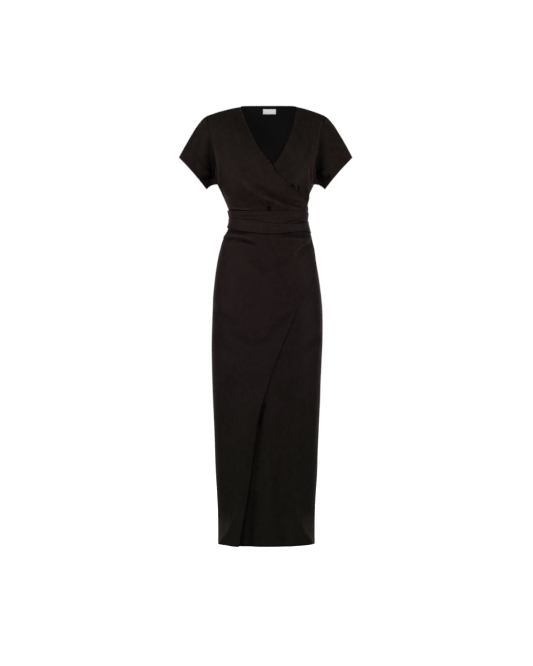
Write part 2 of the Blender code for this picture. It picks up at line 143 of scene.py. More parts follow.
BUST_ANGLE = 36.0
BUST_HEIGHT = -0.258
BUST_FULLNESS = 0.013
BUST_SPREAD = (24.0, 0.055)

SIDE_SHARE = 0.9995  # of the half width, up to where a point lies on the front
ARC_RADIUS = 0.14  # metres of cloth for each radian, used to measure folds


def in_rows(kind, *rows):
    """A table with named columns, from rows in millimetres, in degrees for an angle and in
    shares for a place."""
    units = [1 if column in ("angle", "place") else 1000 for column in kind._fields]
    return [kind(*(value / unit for value, unit in zip(row, units))) for row in rows]


Section = namedtuple("Section", "height shift half front back")
BODY_SECTIONS = in_rows(
    Section,
    (-1387, -1, 152, 110, 108), (-1281, -1, 154.3, 110, 109),
    (-1186, -1.1, 159.8, 112, 111), (-1058, -0.8, 164.6, 114, 114),
    (-931, -1, 169.8, 117, 118), (-804, -0.5, 174.3, 120, 124),
    (-724, 1.4, 175.8, 121, 129), (-645, 1.8, 174, 120, 133), (-581, 1.1, 169.2, 117, 131),
    (-518, 0, 160.8, 113, 121), (-454, 0.2, 148.8, 106, 105), (-416, 1.4, 138, 99.5, 94),
    (-390, 4.1, 127.5, 94, 87), (-365, 4.9, 121.2, 90.5, 83), (-327, 3.4, 125, 95.5, 88),
    (-301.5, 0, 130.5, 102, 94), (-276, -3.2, 139.3, 108, 100),
    (-250.6, -3.7, 151.2, 110, 105), (-225, -4.1, 162.5, 110, 106),
    (-187, -4.1, 175.5, 108, 108), (-149, -4.1, 186.5, 105, 109),
    (-85, -4.1, 200.5, 102, 108), (0, -4.1, 212, 100, 105),
)

EdgePoint = namedtuple("EdgePoint", "height angle")
ARMHOLE_FRONT = in_rows(
    EdgePoint,
    (-246.5, 89), (-245, 81), (-240, 74.5), (-232, 70), (-222, 67), (-195, 63.5),
    (-145, 61.5), (-70, 61.5), (0, 62.8),
)
ARMHOLE_BACK = in_rows(
    EdgePoint,
    (-246.5, 89), (-245, 82), (-240, 77), (-232, 73.5), (-222, 71.5), (-195, 69),
    (-145, 67.5), (-70, 66.5), (0, 62.8),
)

FrontPoint = namedtuple("FrontPoint", "height across")
NECK_EDGE_OVER = in_rows(
    FrontPoint,
    (-365, 125.8), (-340, 127), (-316, 125.5), (-297.8, 117.8), (-273.7, 96.2),
    (-255.8, 72.4), (-236.1, 49), (-213.2, 29), (-194.4, 16), (-176.6, 2.5),
    (-149.4, -18.2), (-117.2, -36.8), (-82.7, -53.4), (0, -86.8),
)
NECK_EDGE_UNDER = in_rows(
    FrontPoint,
    (-365, -113), (-320, -109), (-288, -83), (-262, -52), (-234, -17), (-194.4, 19.7),
    (-172.6, 35.4), (-151.6, 47.6), (-125.6, 60.4), (-82.7, 77.7), (0, 95.4),
)
SKIRT_EDGE_OVER = in_rows(
    FrontPoint,
    (-1387, -80), (-1287, -67.2), (-1191.9, -53.1), (-1076.9, -38.1), (-962.1, -20.6),
    (-908.3, -6.3), (-858.4, 9.3), (-796, 31.2), (-702.4, 68.7), (-627.2, 100.2),
    (-573.3, 132.1), (-547.8, 143.3), (-510, 151.5), (-460, 148), (-416, 138.5),
    (-365, 125.8),
)
SKIRT_EDGE_UNDER = [EdgePoint(-GARMENT_LENGTH, -66.0), EdgePoint(-0.365, -75.0)]

# Outward of this line the hem's corners get a painted highlight.
HEM_CORNER = in_rows(
    FrontPoint,
    (-1387, 142), (-1365, 130), (-1355, 121), (-1340, 112), (-1320, 107.5), (-1290, 102),
)
HEM_CORNER_HIGHLIGHT = 2.3
HEM_CORNER_TOP = -1.275
HEM_CORNER_FADE = (0.012, 0.060)  # across and down
HEM_CORNER_BEHIND = (112.0, 22.0)  # the angle where it ends, and its fade in degrees

Lift = namedtuple("Lift", "height stand_off")
SKIRT_EDGE_LIFT = in_rows(
    Lift,
    (-1387, 18), (-1320, 14), (-1250, 8), (-1150, 7.5), (-1040, 13), (-960, 11), (-880, 4),
    (-780, 2.2), (-700, 1.8), (-620, 1.8), (-560, 1), (-500, 0), (-365, 0),
)
LIFT_ANGLE = 26.0
NECK_EDGE_LIFT = in_rows(
    Lift,
    (-365, 0), (-290, 0), (-268, 0.8), (-257, 4.8), (-247, 0.8), (-224, 0.8), (-213, 6),
    (-202, 0.8), (-190, 0), (0, 0),
)
NECK_LIFT_ANGLE = 7.0

Band = namedtuple("Band", "angle top fold bottom")
SASH = in_rows(
    Band,
    (-180, -330, -362, -394), (-135, -329, -359, -390), (-90, -328.1, -353.9, -385.7),
    (-60, -330.6, -356.8, -389), (-40, -332.7, -360.1, -397.8),
    (-20, -334.8, -365.5, -404.4), (0, -335.6, -374.3, -408.8),
    (20, -335.2, -376.5, -406.3), (40, -333.7, -372.1, -400.4),
    (60, -334.1, -367.2, -397.9), (90, -336.4, -363.1, -402.9), (135, -333, -362, -398),
    (180, -330, -362, -394),
)
SashRow = namedtuple("SashRow", "place out")  # place: 0 bottom to 1 fold, 1 fold to 2 top
SASH_PROFILE = in_rows(
    SashRow,
    (0, 0.2), (0.015, 1), (0.06, 1.7), (0.3, 2.5), (0.7, 2.8), (0.88, 3.3), (0.95, 3.6),
    (0.988, 2.6), (1, 0.4), (1.06, 0), (1.3, 0.7), (1.7, 0.9), (1.94, 0.7), (1.985, 0.2),
    (2, -0.8),
)
SASH_OUT = 0.0021  # the sash's outer face, clear of what it wraps
SASH_SIDES = 0.4  # how much of its profile is left where it is pulled flat at the sides
SASH_RADIUS = 0.11  # metres of sash for each radian
SASH_PLY = 0.035  # its height from one edge to the fold
SASH_LAP_START = -104.0
SASH_LAP_END = 112.0
SASH_LAP_FADE = 14.0

SleeveLoop = namedtuple("SleeveLoop", "across back height")
SLEEVE_HEM_TOP = SleeveLoop(0.2758, 0.004, -0.1596)
SLEEVE_HEM_BOTTOM = SleeveLoop(0.1884, 0.004, -0.2612)
SLEEVE_HEM_DEPTH = 0.054
SLEEVE_HEM_HOLLOW = SleeveLoop(-0.0026, 0.000, 0.0022)
SLEEVE_BULGE = {
    "top": SleeveLoop(-0.0180, 0.0000, 0.0546),
    "front": SleeveLoop(0.0000, 0.0150, 0.0080),
    "bottom": SleeveLoop(0.0000, 0.0000, 0.0105),
    "back": SleeveLoop(0.0000, 0.0020, 0.0100),
}
ARMHOLE_STEPS = [-0.2465, -0.2435, -0.238, -0.228, -0.210, -0.180, -0.140, -0.100, -0.068]
ARMHOLE_STEPS += [-0.040, -0.020, -0.008, 0.0]
SLEEVE_RADIUS = 0.060  # metres of cloth for each radian round the sleeve
SLEEVE_RUN = 0.095  # metres of cloth from the armhole to the sleeve's hem
SLEEVE_SET = 0.0004  # how far the sleeve's top goes into the armhole
SLEEVE_NUDGE = (0.004, 0.4)  # along and round, to feel the sleeve's direction
SLEEVE_WAVER_FROM = 0.2  # how far along the sleeve its unevenness is full

LABEL_MIDDLE = (0.008, -0.0068)
LABEL_SIZE = (0.041, 0.0152)

# ---- Folds -------------------------------------------------------------------------------

# A fold's points are (across, height), seen from the front. rise is its height, or less
# than nothing for a trough. valley is the depth of the trough beside it as a share of the
# rise: above nothing on the left of its direction, below nothing on the right.
# Every fold also paints a highlight along its ridge and shade in its trough, the stronger the
# steeper it is.
Fold = namedtuple("Fold", "side start middle end width rise valley")


def fold_rows(side, rows):
    """Folds of one side of the body, from rows in millimetres. A valley may be left out."""
    made = []
    for start, middle, end, width, rise, *valley in rows:
        points = [(across / 1000, height / 1000) for across, height in (start, middle, end)]
        made.append(Fold(side, *points, width / 1000, rise / 1000, *(valley or [0.0])))
    return made


BODICE_FOLDS = fold_rows("front", [
    # the armhole drapes, a ridge with a hollow towards the sleeve
    ((-190, 0), (-159, -168), (-132.5, -330), 3.6, 3.4, -0.5),
    ((-166, -120), (-150, -210), (-137, -300), 2, 3.4),
    ((180, 0), (152.5, -154), (126, -320), 3.4, 3.4, 0.5),
    ((156, -120), (141.2, -212), (135, -300), 2, 3.4),
    ((135, -175), (127.5, -245), (127.5, -334), 5, 6.4),
    ((132, -215), (126.8, -262), (128, -322), 3, 3.8),
    # the drag from the left chest to the crossing
    ((-118, -205), (-52, -268), (40, -322), 10, 3.4),
    ((-56, -240), (-6, -276), (40, -303), 8.5, -3.2),
    # the two places where the crossing edge stands off, each a shallow trough with painted shadow
    ((19, -198.5), (27, -210), (35, -219), 2, -1.8),
    ((74.5, -252), (80, -256.8), (85, -261.5), 1.8, -4),
    ((-20, -286), (20, -305), (68, -334), 5, 2.6, 0.4),
    # tucks above the sash
    ((6, -320), (6.2, -332), (6.4, -346), 4.6, -6.6),
    ((5, -302), (5.8, -320), (6.2, -344), 6.6, -2.6),
    ((-33, -301), (-14, -314), (2, -330), 3.4, -1.6),
    ((36, -310), (46, -322), (53, -340), 5, -1.4),
    # the roll above the sash at the left
    ((-135, -316), (-85, -326.8), (-36, -332), 2.8, 4.6, -0.6),
    ((-132, -300), (-98, -311), (-62, -316), 8, 1.4),
    # soft drags below the neck and the shoulders
    ((-100, -20), (-93, -58), (-88, -100), 7.5, -1.6),
    ((-78, -45), (-66, -85), (-55, -140), 7, -1.4),
    ((-150, -50), (-143, -125), (-126, -210), 12, -2.4),
    ((-128, -120), (-87, -215), (-22, -296), 15, 1.4),
    ((-43, -140), (-14, -222), (58, -288), 11, 1.8),
    ((110, -30), (104, -75), (95, -130), 8, -1.4),
    ((142, -55), (126, -130), (112, -200), 11, -2),
    ((92, -120), (82, -175), (60, -215), 13, 1.6),
    # the tuck of the inner front, and the folds that run to the right side seam
    ((102.4, -252), (100, -266), (98.5, -280), 2.8, -5, 0.3),
    ((20, -290), (60, -309), (105, -322), 8.5, -2.8),
    ((50, -302), (90, -313), (131, -322), 4.5, 1.4, -0.4),
    ((60, -290), (98, -300), (128, -304), 5, 1.4, -0.5),
    ((-138, -262), (-122, -282), (-98, -296), 8, 1.6, 0.3),
]) + fold_rows("back", [
    # drags from the armholes to the waist, and a little blousing over the sash
    ((-172, -60), (-158, -150), (-146, -236), 8, 3.6, 0.4),
    ((166, -60), (154, -150), (142, -236), 8, 3.6, -0.4),
    ((-120, -175), (-80, -250), (-30, -318), 12, 2.6),
    ((122, -190), (70, -262), (26, -322), 11, 2.4),
    ((-30, -140), (-22, -220), (-4, -310), 14, -1.8),
    ((60, -60), (52, -130), (50, -220), 13, -1.6),
    ((-126, -316), (-80, -327), (-30, -330), 4, 2.6, -0.5),
    ((20, -331), (70, -326), (120, -314), 4, 2.2, -0.5),
    ((-60, -300), (0, -312), (50, -306), 7, 1.4, -0.4),
])
SKIRT_FOLDS = fold_rows("front", [
    # under the sash at the left: a dark tuck, a pale roll and the dark fold below it
    ((-150, -396), (-100, -399), (-40, -407.5), 3.4, -3),
    ((-165, -416), (-105, -413), (-40, -424), 4.6, 5),
    ((-175, -428), (-100, -422.5), (-34, -441), 2.8, -2.2),
    ((-90, -426), (-55, -434), (-28, -443), 4.2, -2.6),
    ((-150, -440), (-98, -438), (-55, -450), 7, 2),
    # the right hip: a bright ridge with a hollow below it
    ((165, -412), (106.5, -447), (78, -495), 2.8, 3.6),
    ((158, -428), (119, -454), (92, -490), 9, -3.4),
    ((30, -414), (93, -411), (160, -415), 7, -4.2),
    ((40, -423), (90, -422), (140, -429), 6, 1.6, -0.6),
    # the soft V across the belly
    ((-60, -472), (-16, -508), (16, -531), 12, -2.8),
    ((10, -531), (54, -493), (96, -462), 11, -2.4),
    ((-110, -462), (-66, -500), (-16, -560), 18, 2),
    ((146, -526), (122, -532), (92, -544), 6, 0.9, 0.4),
    ((150, -484), (130, -498), (100, -520), 7, 0.8, 0.4),
    # long drags over the hips and thighs
    ((-172, -628), (-130, -676), (-86, -708), 16, -3.2),
    ((-172, -590), (-134, -634), (-80, -676), 17, 2),
    ((-170, -715), (-136, -762), (-92, -802), 15, -2.2),
    ((82, -648), (28, -711), (-36, -782), 15, -3.6),
    ((-122, -694), (-85, -737), (-40, -776), 15, -3.2),
    ((148, -566), (108, -617), (60, -690), 15, 2.2),
    ((172, -722), (140, -764), (106, -806), 13, -2.2),
    ((174, -680), (152, -716), (120, -756), 13, 1.8),
    # slow upright folds lower down
    ((-120, -800), (-118, -960), (-122, -1120), 20, -2.2),
    ((-70, -860), (-78, -1020), (-96, -1200), 18, 1.8),
    ((2, -1020), (3, -1190), (6, -1360), 9, 2),
    ((30, -1100), (33, -1240), (38, -1400), 10, -1.8),
    ((64, -900), (69, -1120), (73, -1340), 13, 2),
    ((110, -860), (108, -1060), (100, -1260), 15, -2),
    ((88, -1200), (92, -1290), (94, -1400), 9, 2.2),
    # the corners of the hem
    ((-88, -1245), (-119, -1335), (-160, -1405), 7, 2.6),
    ((-150, -1250), (-151, -1330), (-152, -1430), 11, 1.4),
    ((86, -1240), (117, -1335), (159, -1405), 7, 2.6),
    ((149, -1250), (150, -1330), (151, -1430), 11, 1.4),
    ((66, -1290), (73, -1350), (78, -1430), 9, 3.6),
    # the hollow behind the wrap's free edge, with its painted shadow
    ((-4, -925), (-16, -970), (-30, -1030), 4.4, -3.4),
    ((-12, -960), (-32.5, -1090), (-49, -1270), 7.5, -2.8),
    ((-36, -1200), (-52, -1325), (-56, -1460), 17, -8),
]) + fold_rows("back", [
    # drags below the sash, the seat, and slow upright folds
    ((-140, -402), (-90, -412), (-36, -432), 6, 4.8, -0.6),
    ((142, -404), (90, -416), (30, -440), 6, 5.2, 0.6),
    ((-150, -440), (-110, -470), (-70, -510), 11, 2.8),
    ((152, -450), (110, -486), (80, -530), 11, 2.6),
    ((-100, -700), (-30, -742), (50, -730), 18, -3.4),
    ((160, -640), (120, -690), (80, -730), 16, 2.2),
    ((-164, -650), (-130, -706), (-86, -760), 16, 2.2),
    ((-90, -850), (-98, -1060), (-104, -1300), 19, 2.6),
    ((-30, -900), (-34, -1120), (-30, -1400), 17, -2.6),
    ((40, -860), (46, -1080), (52, -1400), 18, 2.8),
    ((108, -900), (110, -1100), (104, -1360), 17, -2.4),
])
SASH_FOLDS = fold_rows("front", [
    ((-120, -340), (-60, -344), (10, -347.5), 4, 0.9, -0.7),
    ((0, -356), (60, -352), (118, -349), 3.8, 0.8, -0.7),
    ((-118, -370), (-60, -373), (0, -386), 4, 0.8, 0.7),
    ((10, -393), (60, -390), (122, -387), 3.8, 0.9, -0.7),
    ((54, -378), (79, -364), (110, -365), 1.9, -2.4),
    ((66, -373), (95, -371.2), (120, -367), 2.8, -4.4),
]) + fold_rows("back", [
    ((-120, -342), (-40, -348), (40, -345), 4.2, 0.9, -0.7),
    ((-20, -377), (50, -373), (120, -376), 4.2, 0.9, -0.7),
])
COVERED_SHARE = 0.4  # of an inner front's columns, for what its outer front covers
FOLD_STEPS = 25
FOLD_TAPER = 0.30
FOLD_REACH = 4.0  # widths from its line, where a fold has ended
VALLEY_PLACE = 1.7  # widths from its line to the trough beside it
WAVER = 0.0007  # the cloth's slow unevenness
WAVER_SIZE = (0.030, 0.085)  # across and up

SleeveFold = namedtuple("SleeveFold", "start middle end width rise")  # (along, turn) points
SLEEVE_FOLDS = [
    SleeveFold(*row)
    for row in (
        ((0.02, 62.0), (0.24, 106.0), (0.56, 162.0), 0.0140, -0.0080),
        ((0.09, 86.0), (0.32, 123.0), (0.47, 167.0), 0.0200, -0.0080),
        ((0.02, 60.0), (0.045, 86.0), (0.08, 114.0), 0.0085, -0.0036),
        ((0.60, 116.0), (0.60, 140.0), (0.46, 172.0), 0.0110, -0.0060),
        ((0.14, 106.0), (0.17, 128.0), (0.20, 152.0), 0.0022, 0.0034),
        ((0.60, 100.0), (0.36, 113.0), (0.22, 128.0), 0.0030, -0.0020),
        ((0.38, 122.0), (0.50, 136.0), (0.26, 152.0), 0.0030, -0.0022),
        ((0.82, 108.0), (0.80, 126.0), (0.70, 146.0), 0.0040, -0.0030),
        ((-0.10, 30.0), (0.16, 27.0), (0.48, 23.0), 0.0048, 0.0052),
        ((0.20, 52.0), (0.45, 66.0), (0.80, 78.0), 0.0120, -0.0014),
        ((0.30, 24.0), (0.55, 34.0), (0.95, 42.0), 0.0110, 0.0012),
        ((0.55, 84.0), (0.75, 100.0), (0.96, 122.0), 0.0100, 0.0014),
        ((0.18, 280.0), (0.28, 240.0), (0.20, 194.0), 0.0080, -0.0036),
        ((0.40, 262.0), (0.60, 250.0), (0.90, 236.0), 0.0110, 0.0018),
        ((0.30, 320.0), (0.60, 310.0), (0.95, 300.0), 0.0120, -0.0014),
    )
]


# ---- The body form -----------------------------------------------------------------------


def smooth(rows, key, column, at):
    """The table's column at these values of its key, on a smooth curve through the rows."""
    xs = np.array([getattr(row, key) for row in rows])
    ys = np.array([getattr(row, column) for row in rows])
    slopes = np.gradient(ys, xs)
    at = np.clip(at, xs[0], xs[-1])
    i = np.clip(np.searchsorted(xs, at) - 1, 0, len(xs) - 2)
    step = xs[i + 1] - xs[i]
    t = (at - xs[i]) / step
    rise = ys[i + 1] - ys[i]
    bend_in = slopes[i] * step - rise
    bend_out = rise - slopes[i + 1] * step
    return ys[i] + t * rise + t * (1 - t) * ((1 - t) * bend_in + t * bend_out)


def ease(t):
    """0 to 1, level at both ends."""
    t = np.clip(t, 0.0, 1.0)
    return t * t * (3 - 2 * t)


def half_width(height):
    return smooth(BODY_SECTIONS, "height", "half", height)


def top_line(x, behind):
    """(y, z) of the shoulder seam at x and, behind, of the back neck between its ends, with
    how far inside the neck x is."""
    middle = (NECK_LEFT + NECK_RIGHT) / 2
    inside = np.clip(1 - ((x - middle) / ((NECK_RIGHT - NECK_LEFT) / 2)) ** 2, 0, 1)
    left = (NECK_LEFT - x) / (NECK_LEFT - MIDDLE_OF_SHOULDERS + SHOULDER_X)
    right = (x - NECK_RIGHT) / (MIDDLE_OF_SHOULDERS + SHOULDER_X - NECK_RIGHT)
    drop = SHOULDER_DROP * np.clip(np.maximum(left, right), 0, 1.2) ** SHOULDER_CURVE
    back, up = NECK_CURVES
    y = SHOULDER_Y + np.where(behind, NECK_DEPTH * inside**back, 0.0)
    z = np.where(behind, NECK_RISE * inside**up, 0.0) - drop
    return y, z, np.where(behind, inside, 0.0)


def body_form(angle, height):
    """Points of the plain body form, at angles in degrees and heights in metres."""
    turn = np.radians(angle)
    front_side = np.cos(turn) > 0
    x = smooth(BODY_SECTIONS, "height", "shift", height) + half_width(height) * np.sin(turn)
    front = smooth(BODY_SECTIONS, "height", "front", height)
    back = smooth(BODY_SECTIONS, "height", "back", height)
    y = -np.cos(turn) * np.where(front_side, front, back)
    spread_angle, spread_height = BUST_SPREAD
    for side in (-1, 1):
        full = hump(angle - side * BUST_ANGLE, spread_angle)
        full = BUST_FULLNESS * full * hump(height - BUST_HEIGHT, spread_height)
        y = y - full * front_side
    t = np.clip((height - UNDERARM) / -UNDERARM, 0.0, 1.0)
    top_y, top_z, in_neck = top_line(x, ~front_side)
    front, back, rounded = ((1 - t**p) ** q for p, q in (CHEST_FRONT, CHEST_BACK, ROUNDED))
    chest = np.where(front_side, front, back)
    outward = ease((np.abs(x - MIDDLE_OF_SHOULDERS) - ROUND_FROM) / (ROUND_TO - ROUND_FROM))
    over_shoulder = chest * (1 - outward) + rounded * outward
    keep = over_shoulder * (1 - in_neck) + (1 - t**2) * in_neck
    y = top_y * (1 - keep) + y * keep
    z = np.where(height < UNDERARM, height, UNDERARM + t * (top_z - UNDERARM))
    return np.stack([x, y, z], axis=-1)


def angle_at(across, height):
    """The angle of the body form's front at this distance across it."""
    shift = smooth(BODY_SECTIONS, "height", "shift", height)
    share = (across - shift) / half_width(height)
    return np.degrees(np.arcsin(np.clip(share, -SIDE_SHARE, SIDE_SHARE)))


def apart(angle, other):
    """The turn from the other angle to this one, between -180 and 180 degrees."""
    return (angle - other + 180.0) % 360.0 - 180.0


def curve_through(start, middle, end):
    """Points along a smooth curve through three, and each point's share of the way."""
    along = np.linspace(0, 1, FOLD_STEPS)[:, None]
    pull = 2 * middle - (start + end) / 2
    path = (1 - along) ** 2 * start + 2 * along * (1 - along) * pull + along**2 * end
    return path, along[:, 0]


def fold_push(here, path, along, width, rise, valley):
    """How far one fold pushes the cloth at these points, which are flat, in metres."""
    push = np.zeros(len(here))
    margin = FOLD_REACH * width
    near = np.all((here > path.min(axis=0) - margin) & (here < path.max(axis=0) + margin), axis=1)
    if not near.any():
        return push
    steps = np.diff(path, axis=0)
    gaps = here[near][:, None, :] - path[:-1]
    on_step = np.clip((gaps * steps).sum(axis=-1) / (steps**2).sum(axis=-1), 0.0, 1.0)
    gaps = gaps - on_step[..., None] * steps
    away = np.linalg.norm(gaps, axis=-1)
    nearest = away.argmin(axis=1)
    each = np.arange(len(nearest))
    step, gap = steps[nearest], gaps[each, nearest]
    side = np.sign(step[:, 0] * gap[:, 1] - step[:, 1] * gap[:, 0])
    signed = side * away[each, nearest] / width
    at = along[nearest] + on_step[each, nearest] / len(steps)
    fade = ease(at / FOLD_TAPER) * ease((1 - at) / FOLD_TAPER)
    trough = abs(valley) * hump(signed - VALLEY_PLACE * np.sign(valley), 1.0)
    shape = hump(signed, 1.0) - trough
    push[near] = rise * fade * shape
    return push


def folds_at(folds, angle, height):
    """How far all the folds push the cloth out or pull it in, and the painted highlight and shade
    that they give.
    """
    angle, height = np.asarray(angle, float).ravel(), np.asarray(height, float).ravel()
    total, wear = np.zeros(len(angle)), np.zeros(len(angle))
    for fold in folds:
        points = np.array([fold.start, fold.middle, fold.end])
        turns = angle_at(points[:, 0], points[:, 1])
        if fold.side == "back":
            turns = 180.0 - turns
        centre = turns[1]
        flat = np.stack([np.radians(turns - centre) * ARC_RADIUS, points[:, 1]], axis=1)
        path, along = curve_through(*flat)
        here = np.stack([np.radians(apart(angle, centre)) * ARC_RADIUS, height], axis=1)
        push = fold_push(here, path, along, fold.width, fold.rise, fold.valley)
        total += push
        wear += push / fold.width
    return total, wear


def waver_at(points):
    """The cloth's slow unevenness at these points."""
    across, up = WAVER_SIZE
    return WAVER * np.array(
        [noise.noise(Vector((x / across, y / across, z / up))) for x, y, z in points]
    )


def cloth_at(folds, angle, height, out=0.0):
    """Points of the cloth's outer face, this far out from the folded body form."""
    nudge = 1e-4  # to feel the form's direction
    here = body_form(angle, height)
    across = body_form(angle + math.degrees(nudge), height) - here
    up = here - body_form(angle, height - nudge)
    normal = np.cross(across, up)
    normal /= np.linalg.norm(normal, axis=-1, keepdims=True)
    push = folds_at(folds, angle, height)[0] + waver_at(here) + out
    return here + normal * push[:, None]


# ---- Sewing cloth ------------------------------------------------------------------------

GROOVE_DEPTH, GROOVE_SPREAD = 0.0007, 0.0024  # the shallow groove beside a sewn seam
TURNED_STEP, TURNED_END = 0.00035, 0.0016  # doubled cloth at a free edge, and its inner end
ROLL, ROLL_PLACE, ROLL_SPREAD, ROLL_ROUND = 0.0006, 0.0016, 0.0013, 0.0012  # its rolled fold
HEM_STEP, HEM_END = 0.0004, 0.002  # the doubled cloth of a hem, and its upper end
EDGE_LINE = 0.0020  # spread of the painted lines of highlight and shade along free edges
EDGE_SHADOW_GAP = 0.4  # degrees from a free edge to its painted shadow on the cloth under it
STEEPEST_EDGE = 62.0  # the angle up to which the outer front's overhang is reckoned
SPLIT_ENDS = (0.06, 0.94)  # how near to its edges an inner front's columns may gather

# How much painted highlight a place gets. Below nothing, it gets painted shade.
SKIRT_EDGE_HIGHLIGHT, NECK_EDGE_HIGHLIGHT, SLEEVE_HEM_HIGHLIGHT = 0.2, 0.5, 0.5
SKIRT_EDGE_SHADOW, NECK_EDGE_SHADOW, ARMHOLE_SHADE = -0.9, -1.0, -0.5
SASH_TOP_SHADOW, SASH_TOP_SPREAD = -0.7, 0.0022
SASH_BOTTOM_SHADOW, SASH_BOTTOM_SPREAD = -0.9, 0.0030


def hump(away, spread):
    """1 in the middle, and next to nothing at twice the spread."""
    return np.exp(-((away / spread) ** 2))


def from_edge(angle, edge, height):
    """Metres of cloth from an edge at this angle to a point, below nothing on its left."""
    return np.radians(angle - edge) * half_width(height)


def in_scene(name, data):
    """A new object in the scene."""
    made = bpy.data.objects.new(name, data)
    bpy.context.scene.collection.objects.link(made)
    return made


def as_mesh(name, bm):
    """A new mesh, which takes up what was built."""
    mesh = bpy.data.meshes.new(name)
    bm.to_mesh(mesh)
    bm.free()
    return mesh


def finished(piece, slot, *nodes):
    """The piece rides on the dress and stands for nodes, which it hides. The slot is not used."""
    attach(piece, BODY)
    if nodes:
        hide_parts(*nodes)


def cloth_sheet(name, columns, rows, place, materials, thickness, closed=False):
    """A wall of cloth. place turns two arrays, across and up from 0 to 1, into points, each
    point's place on the flat cloth in metres, which becomes its UV, and its painted shade and
    highlight."""
    bm = bmesh.new()
    bmesh.ops.create_grid(bm, x_segments=columns, y_segments=rows, size=0.5)
    grid = np.array([vert.co[:2] for vert in bm.verts]) + 0.5
    points, flat, wear = place(grid[:, 0], grid[:, 1])
    uv = bm.loops.layers.uv.new("cloth")
    painted = bm.verts.layers.float.new("wear")
    for vert, point, amount in zip(bm.verts, points, wear):
        vert.co = point
        vert[painted] = amount
    for face in bm.faces:
        face.smooth = True
        for loop in face.loops:
            loop[uv].uv = flat[loop.vert.index]
    if closed:
        bmesh.ops.remove_doubles(bm, verts=bm.verts, dist=1e-6)
    made = in_scene(name, as_mesh(name, bm))
    for side in materials:
        made.data.materials.append(side)
    wall = made.modifiers.new("cloth", "SOLIDIFY")
    wall.thickness = thickness
    wall.offset = -1.0
    wall.material_offset = len(materials) - 1
    return made


def flat_size(piece):
    """The rectangle a piece is cut from, and its own area, read from its flat cloth."""
    mesh = piece.data
    uv = np.empty(len(mesh.loops) * 2)
    mesh.uv_layers["cloth"].uv.foreach_get("vector", uv)
    size = uv.reshape(-1, 2).max(axis=0) - uv.reshape(-1, 2).min(axis=0)
    area = sum(face.area for face in mesh.polygons)
    width, tall = (math.ceil(side * 1000) / 1000 for side in size)
    width = max(width, math.ceil(area / tall * 1000) / 1000)
    return (width, tall), round(float(area), 4)


def closer_at_edges(across):
    """0 to 1 with its steps four times finer at both ends than in an even spread."""
    return across - 0.75 * np.sin(2 * np.pi * across) / (2 * np.pi)


def closer_at(split, across):
    """0 to 1 with finer steps at both ends and at the split, which gets COVERED_SHARE."""
    under = split * closer_at_edges(np.clip(across / COVERED_SHARE, 0, 1))
    beyond = np.clip((across - COVERED_SHARE) / (1 - COVERED_SHARE), 0, 1)
    return under + (1 - split) * closer_at_edges(beyond)


def panel(name, folds, rows, columns, left, right, layer, cover, thickness):
    """A body panel between two edges, each an angle for every row, on its layer. cover is
    the table of the free edge that lies over it, where its columns are closer."""
    if cover:
        split = np.clip((free_edge(cover, rows) - left) / (right - left), *SPLIT_ENDS)

    def place(across, up):
        row = np.rint(up * (len(rows) - 1)).astype(int)
        first, last = left[row], right[row]
        share = closer_at(split[row], across) if cover else closer_at_edges(across)
        angle = first + share * (last - first)
        height = rows[row]
        out, wear = layer(angle, height, first, last)
        wear = wear + folds_at(folds, angle, height)[1]
        points = cloth_at(folds, angle, height, out)
        return points, np.stack([np.radians(angle) * ARC_RADIUS, height], axis=1), wear

    return cloth_sheet(name, columns, len(rows) - 1, place, cloth_materials(), thickness)


def sew_panels(folds, rows, sizes, panels):
    """Sews a row of body panels. Each has its name, columns, two edges, layer and cover."""
    for name, *shape in panels:
        made = panel(name + "_cloth", folds, rows, *shape, sizes.cloth)
        finished(made, CLOTH_SLOT, name)
        sheet_size = flat_size(made)


def seam_grooves(angle, height, *seams):
    """The shallow grooves beside the seams that run at these angles."""
    grooves = [hump(from_edge(angle, seam, height), GROOVE_SPREAD) for seam in seams]
    return -GROOVE_DEPTH * sum(grooves)


def turned(angle, edge, height, width):
    """The step of the doubled cloth inside a free edge, with its rolled fold."""
    away = np.abs(from_edge(angle, edge, height))
    roll = ROLL * (hump(away - ROLL_PLACE, ROLL_SPREAD) - ease(1 - away / ROLL_ROUND))
    return TURNED_STEP * ease((width - away) / TURNED_END) + roll


def lifted(table, height, inward, reach):
    """How far a free edge stands off, fading out at this many degrees inward of it."""
    return smooth(table, "height", "stand_off", height) * ease(1 - inward / reach)


def lap(angle, seam):
    """How far an outer front stands out from the inner one, from its own side seam on."""
    return OVER_LAP * ease((angle - seam) / LAP_ANGLE)


def below_shoulder(height):
    """1 on the bodice, and 0 at the shoulder seam, where the two fronts meet the back."""
    return ease(height / (SHOULDER_SHARE * UNDERARM))


def painted_edge_line(angle, edge, height, amount):
    """A painted highlight along a free edge or, below nothing, a line of painted shadow."""
    return amount * hump(from_edge(angle, edge, height), EDGE_LINE)


def painted_edge_shadow(table, angle, height, amount):
    """The painted shadow on an inner front along the outer one's edge, which stands over it."""
    edge = free_edge(table, height)
    overhang = OVER_LAP * np.tan(np.radians(np.clip(edge, 0.0, STEEPEST_EDGE)))
    edge_shadow = edge + EDGE_SHADOW_GAP + np.degrees(overhang / half_width(height))
    return painted_edge_line(angle, edge_shadow, height, amount)


def painted_corner_highlight(angle, height):
    """A painted highlight on the hem's corners, outward of a line that runs to each one."""
    across = half_width(height) * np.abs(np.sin(np.radians(angle)))
    inner_line = smooth(HEM_CORNER, "height", "across", height)
    fade_across, fade_down = HEM_CORNER_FADE
    highlit = ease((across - inner_line) / fade_across)
    highlit = highlit * ease((HEM_CORNER_TOP - height) / fade_down)
    behind, fade_round = HEM_CORNER_BEHIND
    return HEM_CORNER_HIGHLIGHT * highlit * ease((behind - np.abs(apart(angle, 0.0))) / fade_round)


